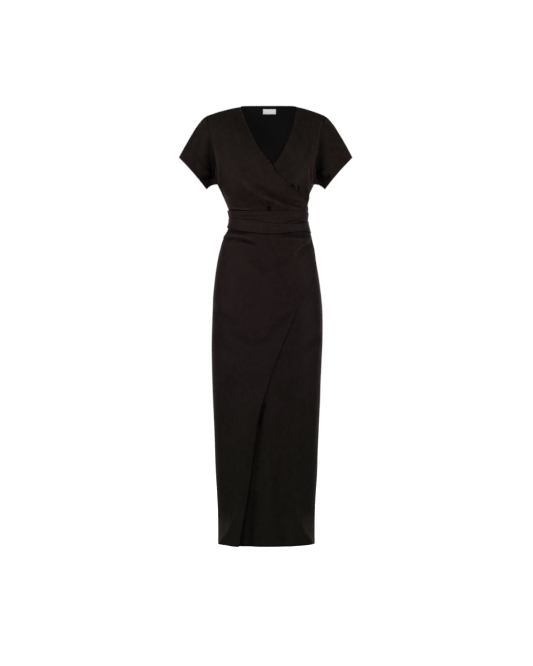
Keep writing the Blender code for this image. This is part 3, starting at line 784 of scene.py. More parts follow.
def painted_sash_shadow(angle, height):
    """Painted shadow on the cloth along the sash's top and bottom edges."""
    above = height - smooth(SASH, "angle", "top", apart(angle, 0.0))
    below = smooth(SASH, "angle", "bottom", apart(angle, 0.0)) - height
    wear = SASH_TOP_SHADOW * hump(above, SASH_TOP_SPREAD)
    return wear + SASH_BOTTOM_SHADOW * hump(below, SASH_BOTTOM_SPREAD)


def hem_step(height, sizes):
    return HEM_STEP * ease((sizes.hem - height - GARMENT_LENGTH) / HEM_END)


def side_edge(heights, angle, inward):
    """Angles of a panel's edge in the side seam, half of the seam's gap to one side."""
    return angle + inward * np.degrees(SEAM / half_width(heights))


def side_and_armhole(heights, table, side, behind=False):
    """Angles of a bodice edge: up the side seam, then up the armhole to the shoulder seam."""
    seam = side_edge(heights, side * 90.0, side if behind else -side)
    armhole = side * smooth(table, "height", "angle", heights)
    if behind:
        armhole = side * 180.0 - armhole
    return np.where(heights < ARMHOLE_STEPS[0], seam, armhole)


def free_edge(table, heights):
    """Angles of a free edge."""
    return angle_at(smooth(table, "height", "across", heights), heights)


def covered(table, angle, height):
    """0 to 1: how far a point lies under the panel whose free edge is this table."""
    return ease((free_edge(table, height) - angle) / TUCK_ANGLE)


# ---- Materials ---------------------------------------------------------------------------

# Numbered sockets: MapRange takes 0 a value, 1 and 2 the range it comes in, and 3 and 4 the
# range it goes out in. Mix takes 0 the second colour's share, and 6 and 7 the two colours.


def node(tree, kind, inputs=None, **settings):
    """Adds a node. inputs gives each socket a value, or the socket that feeds it."""
    made = tree.nodes.new("ShaderNode" + kind)
    for name, value in settings.items():
        setattr(made, name, value)
    for socket, value in (inputs or {}).items():
        if isinstance(value, bpy.types.NodeSocket):
            tree.links.new(value, made.inputs[socket])
        else:
            made.inputs[socket].default_value = value
    return made


def new_material(name, **inputs):
    """A material and its Principled shader, with these values on its sockets."""
    made = bpy.data.materials.new(name)
    made.use_nodes = True
    shader = made.node_tree.nodes["Principled BSDF"]
    for socket, value in inputs.items():
        shader.inputs[socket.replace("_", " ")].default_value = value
    return made, made.node_tree, shader


def in_tone(tree, tint, tone):
    """The tint, as much darker or paler as one tone says."""
    grey = node(tree, "CombineColor", {i: tone for i in range(3)}).outputs[0]
    mix = {"data_type": "RGBA", "blend_type": "MULTIPLY"}
    return node(tree, "Mix", {0: 1.0, 6: tint, 7: grey}, **mix).outputs[2]


def sandwashed_satin():
    """Cupro satin, woven fine and tumbled with sand: matt where it faces you, with a short
    pale bloom where it turns away. It turns from red-brown to olive-brown and is darker
    towards the hem, which is painted shade."""
    colours = bpy.context.scene.dress_colours
    made, tree, shader = new_material(
        "sandwashed_satin",
        Specular_IOR_Level=0.07,
        Specular_Tint=(1.0, 0.80, 0.72, 1.0),
        Sheen_Weight=0.04,
        Sheen_Roughness=0.20,
        Sheen_Tint=(1.0, 0.74, 0.68, 1.0),
    )
    place = node(tree, "TexCoord").outputs["Object"]
    flat = node(tree, "UVMap", uv_map="cloth").outputs["UV"]
    up = node(tree, "SeparateXYZ", {0: place}).outputs["Z"]
    # Patches of 60 mm, where the wash took more or less colour.
    patches = node(tree, "TexNoise", {"Vector": place, "Scale": 16.0, "Detail": 3.0}).outputs[0]
    shift = node(tree, "MapRange", {0: patches, 1: 0.3, 2: 0.7, 3: -0.12, 4: 0.12}).outputs[0]
    level = node(tree, "Math", {0: up, 1: shift}).outputs[0]
    # From the shoulders down the tint turns from red-brown to olive-brown and grows darker towards
    # the hem; the darkening is painted shade.
    dyed = (*colours.cloth_shoulders, 1.0)
    for tint, above, below in (
        (colours.cloth, -0.10, -0.28),
        (colours.cloth_thighs, -0.38, -0.60),
        (colours.cloth_low, -0.74, -1.05),
    ):
        share = node(tree, "MapRange", {0: level, 1: above, 2: below}).outputs[0]
        colours_in = {0: share, 6: dyed, 7: (*tint, 1.0)}
        dyed = node(tree, "Mix", colours_in, data_type="RGBA").outputs[2]
    # Painted highlight on the ridges and edges, and painted shade, tinted violet, in the creases
    # and beside what stands over the cloth.
    wear = node(tree, "Attribute", attribute_name="wear").outputs["Fac"]
    highlight_tone = node(tree, "MapRange", {0: wear, 1: 0.0, 2: 3.0, 3: 1.0, 4: 3.1}).outputs[0]
    shade_share = node(tree, "MapRange", {0: wear, 1: 0.0, 2: -1.0}).outputs[0]
    shade_tint = {0: shade_share, 6: (1.0, 1.0, 1.0, 1.0), 7: (0.10, 0.13, 0.26, 1.0)}
    shade_tint = node(tree, "Mix", shade_tint, data_type="RGBA").outputs[2]
    dyed = node(
        tree, "Mix", {0: 1.0, 6: dyed, 7: shade_tint}, data_type="RGBA", blend_type="MULTIPLY"
    ).outputs[2]
    # Mottling of 16 mm. Warp threads are 0.1 mm apart and are drawn 1 mm wide, to show at a
    # step's distance.
    mottle = node(tree, "TexNoise", {"Vector": place, "Scale": 62.0, "Detail": 4.0}).outputs[0]
    threads = node(tree, "Mapping", {"Vector": flat, "Scale": (1000.0, 45.0, 1.0)}).outputs[0]
    grain = node(tree, "TexNoise", {"Vector": threads, "Scale": 1.0, "Detail": 2.0}).outputs[0]
    tone = highlight_tone
    for pattern, darkest, palest in ((mottle, 0.78, 1.22), (grain, 0.78, 1.22)):
        mapped = {0: pattern, 1: 0.3, 2: 0.7, 3: darkest, 4: palest}
        shade = node(tree, "MapRange", mapped).outputs[0]
        tone = node(tree, "Math", {0: tone, 1: shade}, operation="MULTIPLY").outputs[0]
    shaded = in_tone(tree, dyed, tone)
    # Fibres of 0.02 mm take the dye each in its own way. They are drawn as 3 mm flecks.
    flecks = node(tree, "TexNoise", {"Vector": place, "Scale": 320.0, "Detail": 1.0}).outputs[1]
    flecked = {0: 0.65, 6: shaded, 7: flecks}
    mixed = node(tree, "Mix", flecked, data_type="RGBA", blend_type="OVERLAY")
    tree.links.new(mixed.outputs[2], shader.inputs["Base Color"])
    rough = node(tree, "MapRange", {0: mottle, 1: 0.3, 2: 0.7, 3: 0.50, 4: 0.60}).outputs[0]
    tree.links.new(rough, shader.inputs["Roughness"])
    # Crinkles of 8 mm from the wash, 0.2 mm high, under the grain of the threads.
    crinkle = node(tree, "TexNoise", {"Vector": place, "Scale": 95.0, "Detail": 3.0}).outputs[0]
    rumpled = node(tree, "Bump", {"Distance": 0.00035, "Height": crinkle}).outputs[0]
    woven = node(tree, "Bump", {"Distance": 0.00004, "Height": grain, "Normal": rumpled})
    tree.links.new(woven.outputs[0], shader.inputs["Normal"])
    return made


def satin_wrong_side():
    """The back of the satin: flat and darker, with no bloom."""
    colours = bpy.context.scene.dress_colours
    looks = {"Roughness": 0.85, "Specular_IOR_Level": 0.12}
    made, tree, shader = new_material("satin_wrong_side", **looks)
    place = node(tree, "TexCoord").outputs["Object"]
    flat = node(tree, "UVMap", uv_map="cloth").outputs["UV"]
    mottle = node(tree, "TexNoise", {"Vector": place, "Scale": 70.0, "Detail": 4.0}).outputs[0]
    shade = node(tree, "MapRange", {0: mottle, 1: 0.3, 2: 0.7, 3: 0.88, 4: 1.12}).outputs[0]
    # Painted light: paler low down, where the inside of the neck lies in shade, and darker at the
    # top and towards the left arm, where the key light falls.
    axes = node(tree, "SeparateXYZ", {0: place})
    for axis, start, end, first, last in (
        ("Z", -0.165, -0.025, 1.60, 0.78),
        ("X", -0.050, 0.050, 1.22, 0.82),
    ):
        painted_light = {0: axes.outputs[axis], 1: start, 2: end, 3: first, 4: last}
        painted_light = node(tree, "MapRange", painted_light).outputs[0]
        shade = node(tree, "Math", {0: shade, 1: painted_light}, operation="MULTIPLY").outputs[0]
    tint = in_tone(tree, (*colours.inside, 1.0), shade)
    tree.links.new(tint, shader.inputs["Base Color"])
    threads = node(tree, "Mapping", {"Vector": flat, "Scale": (45.0, 1000.0, 1.0)}).outputs[0]
    grain = node(tree, "TexNoise", {"Vector": threads, "Scale": 1.0, "Detail": 2.0}).outputs[0]
    woven = node(tree, "Bump", {"Distance": 0.00005, "Height": grain})
    tree.links.new(woven.outputs[0], shader.inputs["Normal"])
    return made


def woven_label_tape():
    """Polyester label tape in plain weave: white and matt, its threads just showing. The
    faint glow is painted light, to keep it white in the shade of the neck."""
    colours = bpy.context.scene.dress_colours
    made, tree, shader = new_material(
        "woven_label_tape",
        Roughness=0.55,
        Specular_IOR_Level=0.35,
        Sheen_Weight=0.15,
        Emission_Color=(1.0, 1.0, 1.0, 1.0),
        Emission_Strength=0.26,
    )
    flat = node(tree, "UVMap", uv_map="cloth").outputs["UV"]
    # Threads of 0.35 mm, crossing.
    wave = {"Vector": flat, "Scale": 450.0}
    over = node(tree, "TexWave", wave, bands_direction="X").outputs[1]
    under = node(tree, "TexWave", wave, bands_direction="Y").outputs[1]
    crossing = node(tree, "Math", {0: over, 1: under}, operation="MULTIPLY").outputs[0]
    shade = node(tree, "MapRange", {0: crossing, 3: 0.94, 4: 1.0}).outputs[0]
    tint = in_tone(tree, (*colours.label, 1.0), shade)
    tree.links.new(tint, shader.inputs["Base Color"])
    bump = node(tree, "Bump", {"Distance": 0.00004, "Height": crossing})
    tree.links.new(bump.outputs[0], shader.inputs["Normal"])
    return made


def spun_thread():
    """Spun polyester sewing thread: a matt twist of two strands."""
    colours = bpy.context.scene.dress_colours
    looks = {"Roughness": 0.70, "Specular_IOR_Level": 0.25}
    made, tree, shader = new_material("spun_thread_dark", **looks)
    place = node(tree, "TexCoord").outputs["Object"]
    # Strands of 0.4 mm, drawn at twice the real twist.
    twist = node(tree, "TexWave", {"Vector": place, "Scale": 400.0}, bands_direction="DIAGONAL")
    shade = node(tree, "MapRange", {0: twist.outputs[1], 3: 0.80, 4: 1.15}).outputs[0]
    tint = in_tone(tree, (*colours.thread, 1.0), shade)
    tree.links.new(tint, shader.inputs["Base Color"])
    return made


def matt_floor():
    """A matt white painted floor under even light."""
    colours = bpy.context.scene.dress_colours
    made, _, _ = new_material(
        "matt_white_paint",
        Base_Color=(*colours.floor, 1.0),
        Roughness=0.9,
        Specular_IOR_Level=0.1,
        Emission_Color=(1.0, 1.0, 1.0, 1.0),
        Emission_Strength=0.95,
    )
    return made


def material(name, make):
    """The material of this name, made the first time that a piece needs it."""
    return bpy.data.materials.get(name) or make()


def cloth_materials():
    return [
        material("sandwashed_satin", sandwashed_satin),
        material("satin_wrong_side", satin_wrong_side),
    ]


# ---- Skirt -------------------------------------------------------------------------------


class DRESS_OT_skirt(bpy.types.Operator):
    """Sew the three panels of the skirt: the back and the two fronts that wrap over"""

    bl_idname = "dress.skirt"
    bl_label = "Skirt"

    def execute(self, context):
        sizes = context.scene.dress_sizes
        hips, waist = -0.56, WAIST_SEAM - SEAM  # the rows are closer above the hips
        below = np.linspace(-GARMENT_LENGTH, hips, 151)[:-1]
        rows = np.concatenate([below, np.linspace(hips, waist, 86)])

        # Painted shadow along the sash, and a painted highlight on the hem's corners.
        def painted(angle, height):
            return painted_sash_shadow(angle, height) + painted_corner_highlight(angle, height)

        def outer(angle, height, first, last):
            lift = lifted(SKIRT_EDGE_LIFT, height, last - angle, LIFT_ANGLE)
            edge = turned(angle, last, height, sizes.turned_edge)
            out = lap(angle, first) + lift + np.maximum(edge, hem_step(height, sizes))
            wear = painted(angle, height) + painted_edge_line(angle, last, height, SKIRT_EDGE_HIGHLIGHT)
            return out + seam_grooves(angle, height, first), wear

        def inner(angle, height, first, last):
            sink = -UNDER_TUCK * covered(SKIRT_EDGE_OVER, angle, height)
            # Painted shadow beside the outer front's edge, which stands over this one.
            edge_shadow = painted_edge_shadow(SKIRT_EDGE_OVER, angle, height, SKIRT_EDGE_SHADOW)
            out = sink + hem_step(height, sizes) + seam_grooves(angle, height, last)
            return out, painted(angle, height) + edge_shadow

        def back(angle, height, first, last):
            grooves = seam_grooves(angle, height, first, last)
            return hem_step(height, sizes) + grooves, painted(angle, height)

        wrap = free_edge(SKIRT_EDGE_OVER, rows)
        under = smooth(SKIRT_EDGE_UNDER, "height", "angle", rows)
        left, right = side_edge(rows, -90.0, 1), side_edge(rows, 90.0, -1)
        back_right, back_left = side_edge(rows, 90.0, 1), side_edge(rows, 270.0, -1)
        panels = (
            ("skirt_front_outer", 124, left, wrap, outer, None),
            ("skirt_front_inner", 170, under, right, inner, SKIRT_EDGE_OVER),
            ("skirt_back", 110, back_right, back_left, back, None),
        )
        sew_panels(SKIRT_FOLDS, rows, sizes, panels)
        return {"FINISHED"}


# ---- Bodice ------------------------------------------------------------------------------


class DRESS_OT_bodice(bpy.types.Operator):
    """Sew the bodice: its back and the two fronts that cross at the V"""

    bl_idname = "dress.bodice"
    bl_label = "Bodice"

    def execute(self, context):
        sizes = context.scene.dress_sizes
        armpit = ARMHOLE_STEPS[0]  # the rows are closer here and at the shoulder
        below = np.linspace(WAIST_SEAM + SEAM, armpit, 61)[:-1]
        above = armpit * (1 + np.cos(np.pi * np.linspace(0, 1, 116))) / 2
        rows = np.concatenate([below, above])

        # Painted highlight along the free edge, painted shade along the armhole seam and painted
        # shadow by the sash.
        def edges_painted(angle, height, free, armhole):
            lines = painted_edge_line(angle, free, height, NECK_EDGE_HIGHLIGHT)
            lines = lines + painted_edge_line(angle, armhole, height, ARMHOLE_SHADE)
            return painted_sash_shadow(angle, height) + lines

        def outer(angle, height, first, last):
            lift = lifted(NECK_EDGE_LIFT, height, last - angle, NECK_LIFT_ANGLE)
            edge = turned(angle, last, height, sizes.turned_edge)
            out = lap(angle, first) * below_shoulder(height) + lift + edge
            return out + seam_grooves(angle, height, first), edges_painted(angle, height, last, first)

        def inner(angle, height, first, last):
            sink = -UNDER_TUCK * covered(NECK_EDGE_OVER, angle, height)
            edge = turned(angle, first, height, sizes.turned_edge)
            wear = edges_painted(angle, height, first, last)
            # Painted shadow beside the outer front's edge, which stands over this one.
            wear = wear + painted_edge_shadow(NECK_EDGE_OVER, angle, height, NECK_EDGE_SHADOW)
            return sink + edge + seam_grooves(angle, height, last), wear

        def back(angle, height, first, last):
            return seam_grooves(angle, height, first, last), painted_sash_shadow(angle, height)

        over, under = free_edge(NECK_EDGE_OVER, rows), free_edge(NECK_EDGE_UNDER, rows)
        left, right = (side_and_armhole(rows, ARMHOLE_FRONT, side) for side in (-1, 1))
        back_right = side_and_armhole(rows, ARMHOLE_BACK, 1, behind=True)
        back_left = side_and_armhole(rows, ARMHOLE_BACK, -1, behind=True) + 360.0
        panels = (
            ("bodice_front_outer", 136, left, over, outer, None),
            ("bodice_front_inner", 170, under, right, inner, NECK_EDGE_OVER),
            ("bodice_back", 120, back_right, back_left, back, None),
        )
        sew_panels(BODICE_FOLDS, rows, sizes, panels)
        return {"FINISHED"}


# ---- Sleeves -----------------------------------------------------------------------------


def armhole_loop(side, turn):
    """Points of the armhole, from the shoulder down its front and up its back."""
    steps = len(ARMHOLE_STEPS) - 1
    behind = turn > 180.0
    down = np.where(behind, turn - 180.0, 180.0 - turn) / 180.0 * steps
    heights = np.interp(down, np.arange(steps + 1), ARMHOLE_STEPS)
    front = smooth(ARMHOLE_FRONT, "height", "angle", heights)
    back = 180.0 - smooth(ARMHOLE_BACK, "height", "angle", heights)
    groove = np.full(len(turn), -GROOVE_DEPTH)
    points = cloth_at(BODICE_FOLDS, side * np.where(behind, back, front), heights, groove)
    points[:, 0] = side * (points[:, 0] - MIDDLE_OF_SHOULDERS)
    return points


def sleeve_form(side, along, turn):
    """Points of the plain sleeve: along from armhole 0 to hem 1, turn from the shoulder."""
    turn = turn % 360.0
    start = armhole_loop(side, turn)
    up = np.cos(np.radians(turn))[:, None]
    forward = np.sin(np.radians(turn))[:, None]
    top, bottom = np.array(SLEEVE_HEM_TOP), np.array(SLEEVE_HEM_BOTTOM)
    hem = (top + bottom) / 2 + (top - bottom) / 2 * up
    hem[:, 1] -= SLEEVE_HEM_DEPTH * forward[:, 0]
    hem += np.array(SLEEVE_HEM_HOLLOW) * forward**2
    middle = (start + hem) / 2
    for way, share in (("top", up), ("bottom", -up), ("front", forward), ("back", -forward)):
        middle = middle + np.array(SLEEVE_BULGE[way]) * np.clip(share, 0, 1) ** 1.5
    away = middle - start
    start = start - away / np.linalg.norm(away, axis=1, keepdims=True) * SLEEVE_SET
    s = along[:, None]
    points = (1 - s) ** 2 * start + 2 * s * (1 - s) * middle + s**2 * hem
    points[:, 0] = MIDDLE_OF_SHOULDERS + side * points[:, 0]
    return points


def sleeve_folds_at(along, turn):
    """How far the sleeve's folds push its cloth, and the painted highlight and shade that they
    give.
    """
    flat = np.stack([along * SLEEVE_RUN, np.radians(turn) * SLEEVE_RADIUS], axis=1)
    total, wear = np.zeros(len(along)), np.zeros(len(along))
    for fold in SLEEVE_FOLDS:
        points = np.array([fold.start, fold.middle, fold.end])
        points = points * (SLEEVE_RUN, math.radians(SLEEVE_RADIUS))
        push = fold_push(flat, *curve_through(*points), fold.width, fold.rise, 0.0)
        total += push
        wear += push / fold.width
    return total, wear


def sleeve_cloth_at(side, along, turn, out):
    """Points of the sleeve's outer face, this far out from its plain form."""
    here = sleeve_form(side, along, turn)
    step_along, step_round = SLEEVE_NUDGE
    outward = sleeve_form(side, along + step_along, turn) - here
    round_it = sleeve_form(side, along, turn + step_round) - here
    normal = np.cross(outward, round_it) * -side
    normal /= np.maximum(np.linalg.norm(normal, axis=1, keepdims=True), 1e-12)
    waver = waver_at(here) * ease(along / SLEEVE_WAVER_FROM)
    push = out + waver + sleeve_folds_at(along, turn)[0]
    return here + normal * push[:, None]


class DRESS_OT_sleeves(bpy.types.Operator):
    """Set the two short sleeves into the armholes"""

    bl_idname = "dress.sleeves"
    bl_label = "Sleeves"

    def execute(self, context):
        sizes = context.scene.dress_sizes
        for name, side in (("sleeve_left", -1), ("sleeve_right", 1)):

            def place(outward, around, side=side):
                turn = 360.0 * (around if side < 0 else 1 - around)
                to_hem = (1 - outward) * SLEEVE_RUN
                hem = HEM_STEP * ease((sizes.sleeve_hem - to_hem) / HEM_END)
                points = sleeve_cloth_at(side, outward, turn, hem)
                # Painted shade in the armhole seam, and a painted highlight along the hem.
                wear = sleeve_folds_at(outward, turn)[1] + ARMHOLE_SHADE * hump(outward, 0.02)
                wear = wear + SLEEVE_HEM_HIGHLIGHT * hump(to_hem, 0.0025)
                flat = [math.tau * around * SLEEVE_RADIUS, -outward * SLEEVE_RUN]
                return points, np.stack(flat, axis=1), wear

            sides = cloth_materials()
            made = cloth_sheet(name + "_cloth", 56, 144, place, sides, sizes.cloth, closed=True)
            finished(made, CLOTH_SLOT, name)
            sheet_size = flat_size(made)
        return {"FINISHED"}


# ---- Sash --------------------------------------------------------------------------------


def sash_height(angle, place):
    """The height at a place on the sash, which runs from its bottom 0 by its fold 1 to 2."""
    top, fold, bottom = (smooth(SASH, "angle", c, angle) for c in ("top", "fold", "bottom"))
    lower = place < 1
    low, high = np.where(lower, bottom, fold), np.where(lower, fold, top)
    return low + np.where(lower, place, place - 1) * (high - low)


def sash_at(angle, place, out=0.0):
    """Points of the sash's outer face."""
    height = sash_height(angle, place)
    laps = ease((angle - SASH_LAP_START) / SASH_LAP_FADE)
    laps = laps * ease((SASH_LAP_END - angle) / SASH_LAP_FADE)
    relief = smooth(SASH_PROFILE, "place", "out", place)
    relief = relief * (SASH_SIDES + (1 - SASH_SIDES) * np.cos(np.radians(angle)) ** 2)
    return cloth_at(SASH_FOLDS, angle, height, SASH_OUT + OVER_LAP * laps + relief + out)


class DRESS_OT_sash(bpy.types.Operator):
    """Wrap the folded sash round the waist"""

    bl_idname = "dress.sash"
    bl_label = "Sash"

    def execute(self, context):
        spans = ((0, 0.1, 6), (0.14, 0.90, 16), (0.92, 1.08, 13), (1.13, 1.90, 15), (1.93, 2.0, 6))
        steps = np.concatenate([np.linspace(*span) for span in spans])

        def place(across, up):
            angle = -180.0 + 360.0 * across
            step = steps[np.rint(up * (len(steps) - 1)).astype(int)]
            folds = folds_at(SASH_FOLDS, angle, sash_height(angle, step))[1]
            # Painted shade under the fold's lip, a painted highlight on the lip, and the whole
            # sash a little paler.
            wear = 0.12 + folds - 0.7 * hump(step - 1.03, 0.035) + 0.4 * hump(step - 0.94, 0.050)
            flat = [np.radians(angle) * SASH_RADIUS, step * SASH_PLY]
            return sash_at(angle, step), np.stack(flat, axis=1), wear

        thickness = context.scene.dress_sizes.cloth
        shape = (264, len(steps) - 1, place, cloth_materials(), thickness)
        made = cloth_sheet("sash_cloth", *shape, closed=True)
        finished(made, CLOTH_SLOT, "sash")
        sheet_size = flat_size(made)
        return {"FINISHED"}


# ---- Neck label --------------------------------------------------------------------------

TAPE_THICKNESS = 0.0004
TAPE_PUFF = 0.0005  # how far the middle of the label stands off
BINDING_THICKNESS = 0.0005
BINDING_HEIGHT = 0.0066
BINDING_END = 0.001  # from each end of the back neck


def inside_back_neck(x, z, depth):
    """Points this deep inside the bodice back, at a place across and up."""
    _, neck_z, _ = top_line(x, True)
    height = UNDERARM * (1 - (z - UNDERARM) / (neck_z - UNDERARM))
    angle = 180.0 - angle_at(x, height)
    return cloth_at(BODICE_FOLDS, angle, height, -depth)


class DRESS_OT_label(bpy.types.Operator):
    """Sew the blank woven label and the binding into the back neck"""

    bl_idname = "dress.label"
    bl_label = "Neck label"

    def execute(self, context):
        cloth = context.scene.dress_sizes.cloth

        def place(across, up):
            x = LABEL_MIDDLE[0] + (0.5 - across) * LABEL_SIZE[0]
            z = LABEL_MIDDLE[1] + (up - 0.5) * LABEL_SIZE[1]
            puff = TAPE_PUFF * np.sin(np.pi * across) * np.sin(np.pi * up)
            points = inside_back_neck(x, z, cloth + TAPE_THICKNESS + puff)
            flat = np.stack([across * LABEL_SIZE[0], up * LABEL_SIZE[1]], axis=1)
            return points, flat, 0.0 * across

        tape = [material("woven_label_tape", woven_label_tape)]
        label = cloth_sheet("neck_label_tape", 42, 16, place, tape, TAPE_THICKNESS)
        label.modifiers["cloth"].offset = 1.0
        finished(label, LABEL_SLOT, "neck_label")

        def bind(across, up):
            run = NECK_RIGHT - NECK_LEFT - 2 * BINDING_END
            x = NECK_RIGHT - BINDING_END - across * run
            _, top, _ = top_line(x, True)
            points = inside_back_neck(x, top - BINDING_HEIGHT * (1 - up), cloth + 0.0001)
            return points, np.stack([x, up * BINDING_HEIGHT], axis=1), 0.0 * across

        inside = cloth_materials()[1:]
        binding = cloth_sheet("back_neck_binding", 90, 6, bind, inside, BINDING_THICKNESS)
        finished(binding, CLOTH_SLOT)
        return {"FINISHED"}


# ---- Stitches ----------------------------------------------------------------------------

BEAD = (0.39, 1 / 2, 1 / 3)  # half of one: shares of a stitch's length and of the thread
STITCH_INSET = 0.8  # of the turned edge, from the free edge to its stitches
STITCH_PROBE = 0.001  # how far off a surface is felt for its direction
STITCH_LIFT = 0.96  # of a free edge's lift, which is left at its stitches
HEM_STITCH_INSET = 0.003  # from a hem's upper end down to its stitches
NEAR_SHOULDER = -0.004  # where the neck's stitches end
SHORT_LINE, LONG_LINE = 400, 700  # points along a line of stitches


def one_stitch(sizes):
    """A mesh of one stitch: a flat bead that lies along X."""
    bm = bmesh.new()
    long, wide, high = BEAD
    size = (long * sizes.stitch, wide * sizes.thread, high * sizes.thread, 1.0)
    bead = Matrix.Diagonal(size)
    bmesh.ops.create_uvsphere(bm, u_segments=6, v_segments=4, radius=1.0, matrix=bead)
    return as_mesh("stitch", bm)


def stitch_row(bm, stitch, spacing, surface, *line):
    """Lays stitches along a line on a surface, each one lying flat on the cloth."""
    points = surface(*line, 0.0)
    normals = (surface(*line, STITCH_PROBE) - points) / STITCH_PROBE
    steps = np.linalg.norm(np.diff(points, axis=0), axis=1)
    run = np.concatenate([[0.0], np.cumsum(steps)])
    marks = np.arange(spacing / 2, run[-1], spacing)

    def on_row(values, at):
        return np.stack([np.interp(at, run, values[:, i]) for i in range(3)], axis=1)

    ahead = on_row(points, marks + STITCH_PROBE / 2)
    for at, to, up in zip(on_row(points, marks), ahead, on_row(normals, marks)):
        along = Vector(to - at)
        if along.length < 1e-7:
            continue
        along.normalize()
        across = Vector(up).cross(along).normalized()
        turned_to = Matrix((along, across, along.cross(across))).transposed().to_4x4()
        where = Matrix.Translation(at) @ turned_to
        stitch.transform(where)
        bm.from_mesh(stitch)
        stitch.transform(where.inverted())


def cloth_surface(folds, base):
    """The body's cloth with what lies between it and a line of stitches."""

    def surface(angle, heights, out):
        return cloth_at(folds, angle, heights, base + out)

    return surface


class DRESS_OT_stitches(bpy.types.Operator):
    """Run the stitches along the turned edges, the hems and the sash"""

    bl_idname = "dress.stitches"
    bl_label = "Stitches"

    def execute(self, context):
        sizes = context.scene.dress_sizes
        bm = bmesh.new()
        sewing = (bm, one_stitch(sizes), sizes.stitch)
        self.edge_rows(sewing, sizes)
        self.hem_rows(sewing, sizes)
        self.sleeve_rows(sewing, sizes)
        self.sash_rows(sewing)
        for face in bm.faces:
            face.smooth = True
        made = in_scene("stitches", as_mesh("stitches", bm))
        made.data.materials.append(material("spun_thread_dark", spun_thread))
        finished(made, CLOTH_SLOT)
        return {"FINISHED"}

    def edge_rows(self, sewing, sizes):
        inset = np.degrees(sizes.turned_edge * STITCH_INSET)
        neck = np.linspace(-0.330, NEAR_SHOULDER, SHORT_LINE)
        under_neck = np.linspace(-0.20, NEAR_SHOULDER, SHORT_LINE)
        wrap = np.linspace(-GARMENT_LENGTH + 0.001, -0.42, SHORT_LINE)
        neck_lap = OVER_LAP * below_shoulder(neck)
        neck_lift = smooth(NECK_EDGE_LIFT, "height", "stand_off", neck)
        wrap_lift = smooth(SKIRT_EDGE_LIFT, "height", "stand_off", wrap)
        for folds, table, heights, side, base in (
            (BODICE_FOLDS, NECK_EDGE_OVER, neck, 1, neck_lap + neck_lift * STITCH_LIFT),
            (BODICE_FOLDS, NECK_EDGE_UNDER, under_neck, -1, 0.0),
            (SKIRT_FOLDS, SKIRT_EDGE_OVER, wrap, 1, OVER_LAP + wrap_lift * STITCH_LIFT),
        ):
            angle = free_edge(table, heights) - side * inset / half_width(heights)
            stitch_row(*sewing, cloth_surface(folds, base + TURNED_STEP), angle, heights)

    def hem_rows(self, sewing, sizes):
        height = -GARMENT_LENGTH + sizes.hem - HEM_STITCH_INSET
        heights = np.full(LONG_LINE, height)
        edge = float(free_edge(SKIRT_EDGE_OVER, np.array([height]))[0])
        over = np.linspace(-90.0, edge - 1.0, LONG_LINE)
        under = np.linspace(edge, 270.0, LONG_LINE)
        base = lap(over, -90.0) + lifted(SKIRT_EDGE_LIFT, heights, edge - over, LIFT_ANGLE)
        stitch_row(*sewing, cloth_surface(SKIRT_FOLDS, HEM_STEP + base), over, heights)
        stitch_row(*sewing, cloth_surface(SKIRT_FOLDS, HEM_STEP), under, heights)

    def sleeve_rows(self, sewing, sizes):
        turn = np.linspace(0.0, 359.9, SHORT_LINE)
        outward = 1 - (sizes.sleeve_hem - HEM_STITCH_INSET) / SLEEVE_RUN
        for side in (-1, 1):

            def surface(outward, turn, out, side=side):
                return sleeve_cloth_at(side, outward, turn, HEM_STEP + out)

            stitch_row(*sewing, surface, np.full(SHORT_LINE, outward), turn)

    def sash_rows(self, sewing):
        angle = np.linspace(-180.0, 179.9, LONG_LINE)
        for place in (0.07, 1.93):
            stitch_row(*sewing, sash_at, angle, np.full(LONG_LINE, place))


# ---- Stage -------------------------------------------------------------------------------

NEUTRAL, WARM = (1.0, 1.0, 1.0), (1.0, 0.72, 0.66)
SoftBox = namedtuple("SoftBox", "name place aim_height size power tint")
SOFT_BOXES = (
    ("key", (-2.1, -3.0, 0.6), -0.45, (1.6, 1.5), 28.0, NEUTRAL),
    ("fill", (0.1, -4.6, -0.4), -0.4, (0.9, 0.9), 35.0, NEUTRAL),
    ("left_side", (-2.8, -1.0, 0.0), -0.4, (1.2, 2.0), 20.0, NEUTRAL),
    ("right_side", (2.8, -1.0, 0.0), -0.4, (1.2, 2.0), 28.0, NEUTRAL),
    ("left_rim", (-1.7, 2.3, -0.85), -0.9, (0.7, 2.4), 8.0, WARM),
    ("right_rim", (1.7, 2.3, -0.85), -0.9, (0.7, 2.4), 7.0, WARM),
    ("back", (0.5, 3.8, 0.6), -0.5, (2.4, 2.0), 45.0, NEUTRAL),
)
FLOOR_RADIUS = 14.0
CAMERA_PLACE = (-0.0016, -6.3, -0.718)
CAMERA_LENS = 107.1  # mm, on a sensor of 36 mm


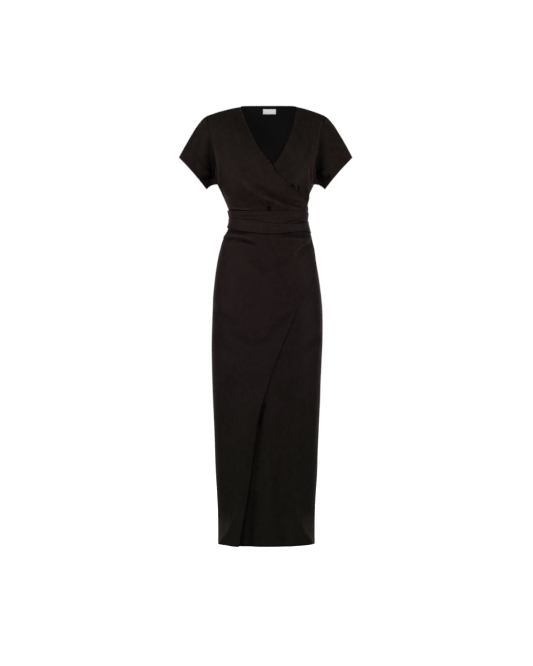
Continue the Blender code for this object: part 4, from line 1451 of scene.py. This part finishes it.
class DRESS_OT_stage(bpy.types.Operator):
    """Set the pale floor, the soft lights and the camera"""

    bl_idname = "dress.stage"
    bl_label = "Stage"

    def execute(self, context):
        scene = context.scene
        bm = bmesh.new()
        bmesh.ops.create_circle(bm, cap_ends=True, segments=96, radius=FLOOR_RADIUS)
        down = -GARMENT_LENGTH - scene.dress_sizes.above_floor
        bmesh.ops.translate(bm, verts=bm.verts, vec=(0, 0, down))
        floor = in_scene("floor", as_mesh("floor", bm))
        floor.data.materials.append(matt_floor())
        # The floor throws no light back up the dress.
        floor.visible_diffuse = False
        floor.visible_glossy = False

        scene.world = bpy.data.worlds.new("studio")
        scene.world.use_nodes = True
        tree = scene.world.node_tree
        tree.nodes.clear()
        white = (1, 1, 1, 1)
        seen = node(tree, "Background", {"Color": white, "Strength": 1.0}).outputs[0]
        fill = node(tree, "Background", {"Color": white, "Strength": 0.20}).outputs[0]
        camera_ray = node(tree, "LightPath").outputs["Is Camera Ray"]
        mixed = node(tree, "MixShader", {0: camera_ray, 1: fill, 2: seen}).outputs[0]
        node(tree, "OutputWorld", {"Surface": mixed})

        for box in (SoftBox(*row) for row in SOFT_BOXES):
            data = bpy.data.lights.new(box.name, "AREA")
            data.color = box.tint
            data.shape = "RECTANGLE"
            data.size, data.size_y = box.size
            data.energy = box.power
            light = in_scene(box.name, data)
            light.location = box.place
            aim = Vector((0, 0, box.aim_height)) - Vector(box.place)
            light.rotation_euler = aim.to_track_quat("-Z", "Y").to_euler()
            light.visible_camera = False

        data = bpy.data.cameras.new("camera")
        data.sensor_width = 36.0
        data.lens = CAMERA_LENS
        scene.camera = in_scene("camera", data)
        scene.camera.location = CAMERA_PLACE
        scene.camera.rotation_euler = (math.radians(90), 0, 0)

        scene.view_settings.view_transform = "Standard"
        scene.view_settings.look = "None"
        scene.view_settings.exposure = 0.0
        scene.view_settings.gamma = 1.0
        return {"FINISHED"}


# ---- The add-on --------------------------------------------------------------------------


class DRESS_PT_panel(bpy.types.Panel):
    """Lists the dress's pieces, sizes and colours"""

    bl_label = "Wrap Dress"
    bl_idname = "DRESS_PT_panel"
    bl_space_type = "VIEW_3D"
    bl_region_type = "UI"
    bl_category = "Wrap Dress"

    def draw(self, context):
        layout = self.layout
        for group in (context.scene.dress_sizes, context.scene.dress_colours):
            box = layout.box()
            for name in group.__annotations__:
                box.prop(group, name)
        for operator in OPERATORS:
            layout.operator(operator.bl_idname)


OPERATORS = (
    DRESS_OT_stage,
    DRESS_OT_skirt,
    DRESS_OT_bodice,
    DRESS_OT_sleeves,
    DRESS_OT_sash,
    DRESS_OT_label,
    DRESS_OT_stitches,
)
CLASSES = (DressSizes, DressColours, *OPERATORS, DRESS_PT_panel)


def register():
    for cls in CLASSES:
        bpy.utils.register_class(cls)
    bpy.types.Scene.dress_sizes = bpy.props.PointerProperty(type=DressSizes)
    bpy.types.Scene.dress_colours = bpy.props.PointerProperty(type=DressColours)


def unregister():
    del bpy.types.Scene.dress_colours
    del bpy.types.Scene.dress_sizes
    for cls in reversed(CLASSES):
        bpy.utils.unregister_class(cls)


def main():
    register()
    bpy.ops.dress.stage()
    bpy.ops.dress.skirt()
    bpy.ops.dress.bodice()
    bpy.ops.dress.sleeves()
    bpy.ops.dress.sash()
    bpy.ops.dress.label()
    bpy.ops.dress.stitches()


if __name__ == "__main__":
    main()
